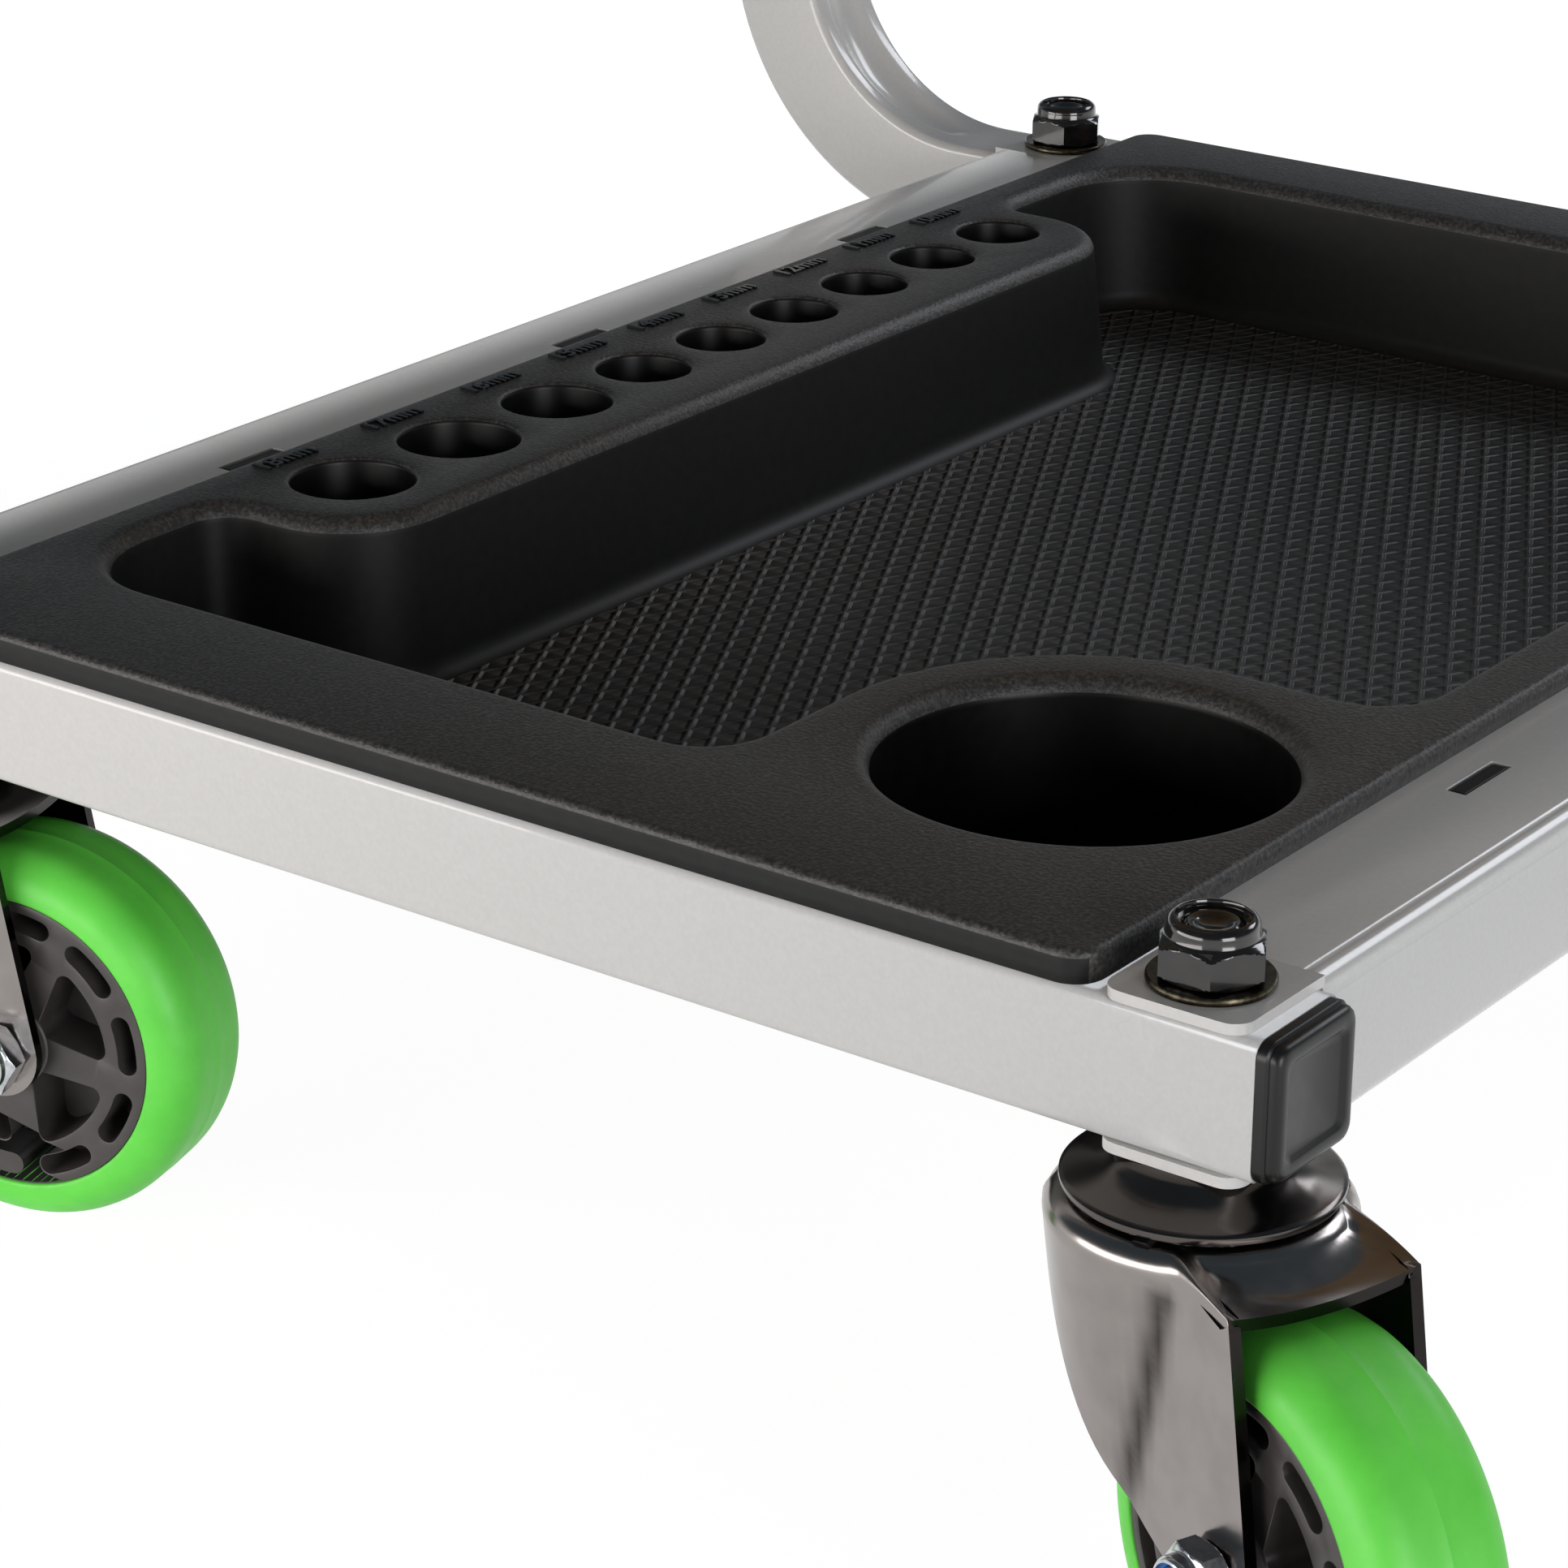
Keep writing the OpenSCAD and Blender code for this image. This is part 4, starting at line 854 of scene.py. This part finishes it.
def axle(name):
    """The axle bolt: hexagon head on the far side, plain shank, chamfered end past the nut."""
    bm = bmesh.new()
    flats = 13
    corner = flats / 2 / cos(pi / 6)
    # Height, radius, and whether the hexagon cuts it.
    heads = [(-24.3, 5.2, False), (-24.3, 6.15, False), (-24.15, 6.35, True), (-23.8, 6.9, True),
             (-23.5, corner, True), (-19.4, corner, True), (-19.1, 7.2, True), (-19.0, 6.8, True),
             (-19.0, 4.0, False), (27.3, 4.0, False), (28.0, 3.4, False)]
    rod(bm, [nut_ring(flats, z, r, cut) for z, r, cut in heads])
    return piece(bm, name + "_axle_bolt", name + "_swivel", [name + "_axle"], [ZINC],
                 axle_place(name), sharp=30)


def axle_nut(name):
    bm = bmesh.new()
    lock_nut(bm, 13, 8, 4.08, (0, 0, 19), insert=True)
    return piece(bm, name + "_axle_lock_nut", name + "_swivel", [name + "_axle_nut"], [ZINC, NYLON],
                 axle_place(name), sharp=32)


HUB_R, HUB_HALF, BOSS_R, BOSS_HALF, POCKET = 31.0, 13.75, 8.6, 16.2, 11.0


def turned(points, angle):
    spin = Matrix.Rotation(radians(angle), 2)
    return [tuple(spin @ Vector(p)) for p in points]


def window_points(angle, shrink):
    """Outline of a spoke window: an arc outside, two straight sides and round corners."""
    outer, rounding = 22.0 - shrink, 2.0
    apex = 7.0 + 1.6 * shrink
    wide = radians(28.08)
    slope = Vector((outer * cos(wide) - apex, outer * sin(wide)))
    turn = Vector((1, 0)).angle(slope)
    near = apex + rounding / sin(turn)
    ring = outer - rounding
    along = -near * cos(turn) + sqrt(ring ** 2 - (near * sin(turn)) ** 2)
    far = Vector((near + along * cos(turn), along * sin(turn)))
    t, tip = turn * 180 / pi, Vector((1, 0)).angle(far) * 180 / pi
    points = arc(0, 0, outer, -tip, tip, 10) + arc(far.x, far.y, rounding, tip, t + 90, 5)
    points += arc(near, 0, rounding, t + 90, 270 - t, 6)
    return turned(points + arc(far.x, -far.y, rounding, 270 - t, 360 - tip, 5), angle)


def slot_points(angle, shrink):
    """Outline of a slot along the rim, with round ends."""
    ring, half, turn = 26.8, 2.0 - shrink, 9.0
    points = arc(0, 0, ring + half, -turn, turn, 5)
    x, y = ring * cos(radians(turn)), ring * sin(radians(turn))
    points += arc(x, y, half, turn, turn + 180, 8)[1:-1] + arc(0, 0, ring - half, turn, -turn, 5)
    return turned(points + arc(x, -y, half, 180 - turn, 360 - turn, 8)[1:-1], angle)


def hub(name):
    """The wheel's hub: five spokes, ten rim slots and a boss, the same on both faces."""
    bm = bmesh.new()
    circle = arc(0, 0, 1, 0, 356.25, 95)
    rim = ((HUB_R - 0.6, HUB_HALF), (HUB_R - 0.2, HUB_HALF - 0.15), (HUB_R, HUB_HALF - 0.6), (HUB_R, 0))
    boss = ((BOSS_R + 0.5, HUB_HALF), (BOSS_R + 0.1, HUB_HALF + 0.3), (BOSS_R, HUB_HALF + 0.8),
            (BOSS_R, BOSS_HALF - 0.4), (BOSS_R - 0.4, BOSS_HALF), (6.2, BOSS_HALF), (6.0, BOSS_HALF - 0.2),
            (6.0, 0))
    loops = [loft(bm, [[(x * r, y * r, z) for x, y in circle] for r, z in profile])[0]
             for profile in (rim, boss)]
    # Each hole is lofted down to the pocket's floor: how much it shrinks, and the height.
    sides = ((-0.3, HUB_HALF), (-0.08, HUB_HALF - 0.08), (0, HUB_HALF - 0.3), (0.35, HUB_HALF - POCKET))
    holes = [(window_points, 36 + 72 * i) for i in range(5)]
    holes += [(slot_points, 18 + 36 * i) for i in range(10)]
    for shape, angle in holes:
        rings = loft(bm, [[(x, y, z) for x, y in shape(angle, shrink)] for shrink, z in sides])
        loops.append(rings[0])
        cap(bm, rings[-1])
    cap(bm, *loops)
    bmesh.ops.mirror(bm, geom=bm.verts[:] + bm.edges[:] + bm.faces[:], matrix=Matrix.Identity(4),
                     merge_dist=1e-3, axis="Z")
    roll = Matrix.Rotation(radians(CASTERS[name][2]), 4, "Z")
    return piece(bm, name + "_spoked_hub", name + "_wheel", [name + "_hub"], [HUB],
                 axle_place(name) @ roll, sharp=35)


def tyre(name):
    """The tyre: round shoulders, a fine parting line round the middle."""
    bm = bmesh.new()
    turns = [radians(-90 + 9 * i) for i in range(11)]
    profile = [(HUB_R, -13.7), (HUB_R + 0.3, -14)] + [(31.9 + 8 * cos(t), -6 + 8 * sin(t)) for t in turns]
    profile += [(39.94, -3), (39.95, -0.3), (40, -0.1)]
    lathe(bm, profile + [(r, -z) for r, z in reversed(profile)], 160)
    return piece(bm, name + "_rubber_tyre", name + "_wheel", [name + "_tyre"], [RUBBER],
                 axle_place(name), sharp=50)


# Seat


def seat_board():
    bm = bmesh.new()
    points = outline(box_corners(165, 225, 50, 16))
    rod(bm, [[(MID_X + x, MID_Y + y, z) for x, y in points] for z in (UPPER_TOP, BOARD_TOP)])
    return piece(bm, "plywood_board", "frame", ["seat_board"], [PLYWOOD], bevel=0.8)


def cushion():
    """The seat pad: foam under vinyl, blown up by the cloth solver and drawn in a little at its sides."""
    pad = show("seat_pad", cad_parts["seat_cushion"].data.copy())
    bm = bmesh.new()
    bm.from_mesh(pad.data)
    bmesh.ops.remove_doubles(bm, verts=bm.verts, dist=1e-6)
    bm.to_mesh(pad.data)
    bm.free()
    # It starts 1.5 mm small at each side and a tenth lower, and the solver fills it out.
    centre = Matrix.Translation(PLACE @ Vector((MID_X, MID_Y, BOARD_TOP)))
    slack = Matrix.Diagonal((*(1 - 1.5 / half for half in CUSHION_HALF), 0.9, 1))
    pad.data.transform(centre @ slack @ centre.inverted())
    cells = pad.modifiers.new("cells", "REMESH")
    cells.mode = "VOXEL"
    cells.voxel_size = 0.005
    graph = bpy.context.evaluated_depsgraph_get()
    even = bpy.data.meshes.new_from_object(pad.evaluated_get(graph))
    pad.modifiers.clear()
    pad.data = even
    blow_up(pad, BOARD_TOP * 0.001)
    draw_in(pad)
    pad.data.shade_smooth()
    pad.data.materials.clear()
    pad.data.materials.append(VINYL)
    soft = pad.modifiers.new("soft", "SUBSURF")
    soft.levels = soft.render_levels = 1
    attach(pad, "frame")
    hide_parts("seat_cushion")
    return pad


def blow_up(pad, floor):
    """Runs the cloth solver with pressure inside, and keeps each point within 7 mm of its start."""
    start = [v.co.copy() for v in pad.data.vertices]
    held = pad.vertex_groups.new(name="held")
    held.add([i for i, p in enumerate(start) if p.z < floor + 0.004], 1.0, "REPLACE")
    solver = pad.modifiers.new("cloth", "CLOTH")
    cloth = solver.settings
    cloth.quality = 5
    cloth.mass = 0.4
    cloth.tension_stiffness = cloth.compression_stiffness = 20
    cloth.bending_stiffness = 2.0
    cloth.use_pressure = True
    cloth.uniform_pressure_force = 4.0
    cloth.vertex_group_mass = "held"
    cloth.effector_weights.gravity = 0
    solver.collision_settings.use_collision = False
    scene = bpy.context.scene
    for number in range(1, 21):
        scene.frame_set(number)
    graph = bpy.context.evaluated_depsgraph_get()
    blown = bpy.data.meshes.new_from_object(pad.evaluated_get(graph))
    pad.modifiers.clear()
    pad.vertex_groups.clear()
    scene.frame_set(1)
    furthest = 7.0 * 0.001
    for vert, before in zip(blown.vertices, start):
        moved = vert.co - before
        if moved.length > furthest:
            moved *= furthest / moved.length
        vert.co = before + moved
        vert.co.z = max(vert.co.z, floor)
    # The solver's short folds are rubbed out, because the foam is stiffer than they are.
    bm = bmesh.new()
    bm.from_mesh(blown)
    free = [v for v in bm.verts if v.co.z > floor + 0.006]
    for _ in range(18):
        bmesh.ops.smooth_vert(bm, verts=free, factor=0.5, use_axis_x=True, use_axis_y=True, use_axis_z=True)
    bm.to_mesh(blown)
    bm.free()
    pad.data = blown


def draw_in(pad):
    """Pulls the sides in by 4 and 5 mm between the corners, as the stretched cover does."""
    middle = PLACE @ Vector((MID_X, MID_Y, 0))
    for vert in pad.data.vertices:
        x, y = ((vert.co[k] - middle[k]) * 1000 / CUSHION_HALF[k] for k in (0, 1))
        vert.co.x -= 0.004 * x * abs(x) * max(0.0, 1 - y * y)
        vert.co.y -= 0.005 * y * abs(y) * max(0.0, 1 - x * x)


def seat_welt(pad):
    """The sewn welt where the top panel meets the side band, laid on the pad's skin."""
    skin = BVHTree.FromObject(pad, bpy.context.evaluated_depsgraph_get())
    seam, welt_r, outside, corner, stitch = 33, 1.5, 20, 76, 12
    centre = PLACE @ Vector((MID_X, MID_Y, BOARD_TOP + seam))
    outer = outline(box_corners(*(half + outside for half in CUSHION_HALF), corner, 16))
    path = []
    limits = [half - corner for half in CUSHION_HALF]
    for (ax, ay), (bx, by) in zip(outer, outer[1:] + outer[:1]):
        parts = max(1, round(sqrt((bx - ax) ** 2 + (by - ay) ** 2) / stitch))
        for k in range(parts):
            point = Vector((ax + (bx - ax) * k / parts, ay + (by - ay) * k / parts, 0))
            inner = [max(-limit, min(limit, value)) for limit, value in zip(limits, point)]
            hit = skin.ray_cast(centre + point * 0.001, (Vector((*inner, 0)) - point).normalized())[0]
            path.append(hit * 1000)
    lines = []
    turns = [radians(t) for t in range(0, 360, 45)]
    for before, here, after in zip(path[-1:] + path, path, path[1:] + path[:1]):
        along = (after - before).normalized()
        out = along.cross(Vector((0, 0, 1))).normalized()
        up = out.cross(along)
        lines.append([here + out * welt_r * cos(t) + up * welt_r * sin(t) for t in turns])
    bm = bmesh.new()
    hoop(bm, lines)
    return piece(bm, "seat_welt", "frame", [], [VINYL], Matrix.Scale(0.001, 4), sharp=80)


# Camera, light and floor


def camera():
    """The photograph's camera, as solved from the edges of the frame."""
    view = bpy.data.cameras.new("camera")
    view.sensor_width = 36.0
    view.lens = 108.73
    view.clip_start, view.clip_end = 0.05, 30
    eye = show("camera", view)
    right = Vector((0.80220, 0.59704, 0.00421))
    forward = Vector((-0.55097, 0.74298, -0.38001))
    up = right.cross(forward).normalized()
    right = forward.cross(up).normalized()
    turn = Matrix((right, up, -forward.normalized())).transposed().to_4x4()
    eye.matrix_world = Matrix.Translation(PLACE @ Vector((355.12, -593.81, 443.94))) @ turn
    bpy.context.scene.camera = eye


def softbox(name, place, target, size, watts, tone):
    lamp = bpy.data.lights.new(name, "AREA")
    lamp.shape = "RECTANGLE"
    lamp.size, lamp.size_y = size
    lamp.energy = watts
    lamp.color = colour(tone)[:3]
    thing = show(name, lamp)
    thing.location = place
    thing.rotation_euler = (Vector(target) - Vector(place)).to_track_quat("-Z", "Y").to_euler()


def white_floor():
    """A pale painted floor, seen as white by the eye, metal and glass, that keeps the stool's shadow."""
    bm = bmesh.new()
    bmesh.ops.create_grid(bm, x_segments=1, y_segments=1, size=6.0)
    mesh = bpy.data.meshes.new("floor")
    bm.to_mesh(mesh)
    bm.free()
    ground = show("floor", mesh)
    paint, tree, matt, place = finish("white_floor_paint", "#e8e8e8", roughness=0.9)
    white = add(tree, "ShaderNodeEmission", {"Color": (1, 1, 1, 1), "Strength": 1.16})
    rays = add(tree, "ShaderNodeLightPath").outputs
    seen = reckon(tree, "MAXIMUM", rays["Is Camera Ray"], rays["Is Glossy Ray"])
    seen = reckon(tree, "MAXIMUM", seen, rays["Is Transmission Ray"])
    # Close to the stool a little of the paint shows, with the shadow, and none of it further off.
    reach = add(tree, "ShaderNodeVectorMath", {0: place}, operation="LENGTH").outputs["Value"]
    fade = spread(tree, reach, 0.82, 1.0, 0.45, 1.1)
    both = add(tree, "ShaderNodeMixShader", {
        0: reckon(tree, "MULTIPLY", seen, fade), 1: matt.outputs[0], 2: white.outputs[0]})
    tree.links.new(both.outputs[0], tree.nodes["Material Output"].inputs["Surface"])
    mesh.materials.append(paint)


def studio():
    """A white backdrop for the eye, a dim grey ceiling for the light, and three soft lamps."""
    world = bpy.data.worlds.new("studio")
    bpy.context.scene.world = world
    world.use_nodes = True
    tree = world.node_tree
    way = add(tree, "ShaderNodeTexCoord").outputs["Generated"]
    height = add(tree, "ShaderNodeSeparateXYZ", {"Vector": way}).outputs["Z"]
    sky = add(tree, "ShaderNodeValToRGB", {"Fac": height})
    for stop, position, code in zip(sky.color_ramp.elements, (0.03, 0.26), ("#ffffff", "#4e585f")):
        stop.position = position
        stop.color = colour(code)
    rays = add(tree, "ShaderNodeLightPath").outputs
    # Metal shows the white backdrop at its full strength near the horizon, and the ceiling above it.
    seen = reckon(tree, "MAXIMUM", rays["Is Glossy Ray"], rays["Is Transmission Ray"])
    room = add(tree, "ShaderNodeBackground", {
        "Color": sky.outputs["Color"], "Strength": spread(tree, seen, 0.5, 1.0)})
    backdrop = add(tree, "ShaderNodeBackground", {"Color": (1, 1, 1, 1), "Strength": 1.0})
    both = add(tree, "ShaderNodeMixShader", {
        0: rays["Is Camera Ray"], 1: room.outputs[0], 2: backdrop.outputs[0]})
    tree.links.new(both.outputs[0], tree.nodes["World Output"].inputs["Surface"])
    # Name, place, target, size in metres, watts and tone.
    softbox("key", (-0.4, -1.15, 0.24), (-0.02, -0.1, 0.12), (1.5, 0.38), 9.8, "#fffaf7")
    softbox("side", (1.9, -0.9, 0.45), (0.1, -0.1, 0.1), (1.0, 0.8), 19, "#fdfdff")
    softbox("back", (0.6, 1.9, 1.5), (0, 0, 0.2), (1.4, 0.6), 15, "#f5f8ff")


def keep_nodes():
    """Finishes for the nodes of the construction that stay as they are."""
    kept = {"seat_bolts": ZINC, "seat_washers": ZINC, "seat_tee_nuts": ZINC}
    for name in CASTERS:
        kept[name + "_balls"] = BALLS
        kept[name + "_sleeve"] = ZINC
    for node, material in kept.items():
        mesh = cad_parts[node].data
        mesh.materials.clear()
        mesh.materials.append(material)


bpy.context.scene.view_settings.view_transform = "Standard"
camera()
white_floor()
studio()
keep_nodes()
tray()
tray_clips()
socket_sizes()
for part, y in (("near", 0.0), ("far", SPAN_Y)):
    tube(part + "_bent_tube", y, part + "_tube")
    end_cap(part + "_low_cap", 16.0, y, CASTER_HEIGHT + TUBE / 2, part + "_lower_cap")
    end_cap(part + "_high_cap", 0.0, y, UPPER_TOP - TUBE / 2, part + "_upper_cap")
rail("right_folded_rail", "right_rail", False)
rail("left_folded_rail", "left_rail", True)
stem_nuts()
stem_washers()
for caster in CASTERS:
    for build in (stem, race, fork, axle, axle_nut, hub, tyre):
        build(caster)
seat_board()
seat_welt(cushion())
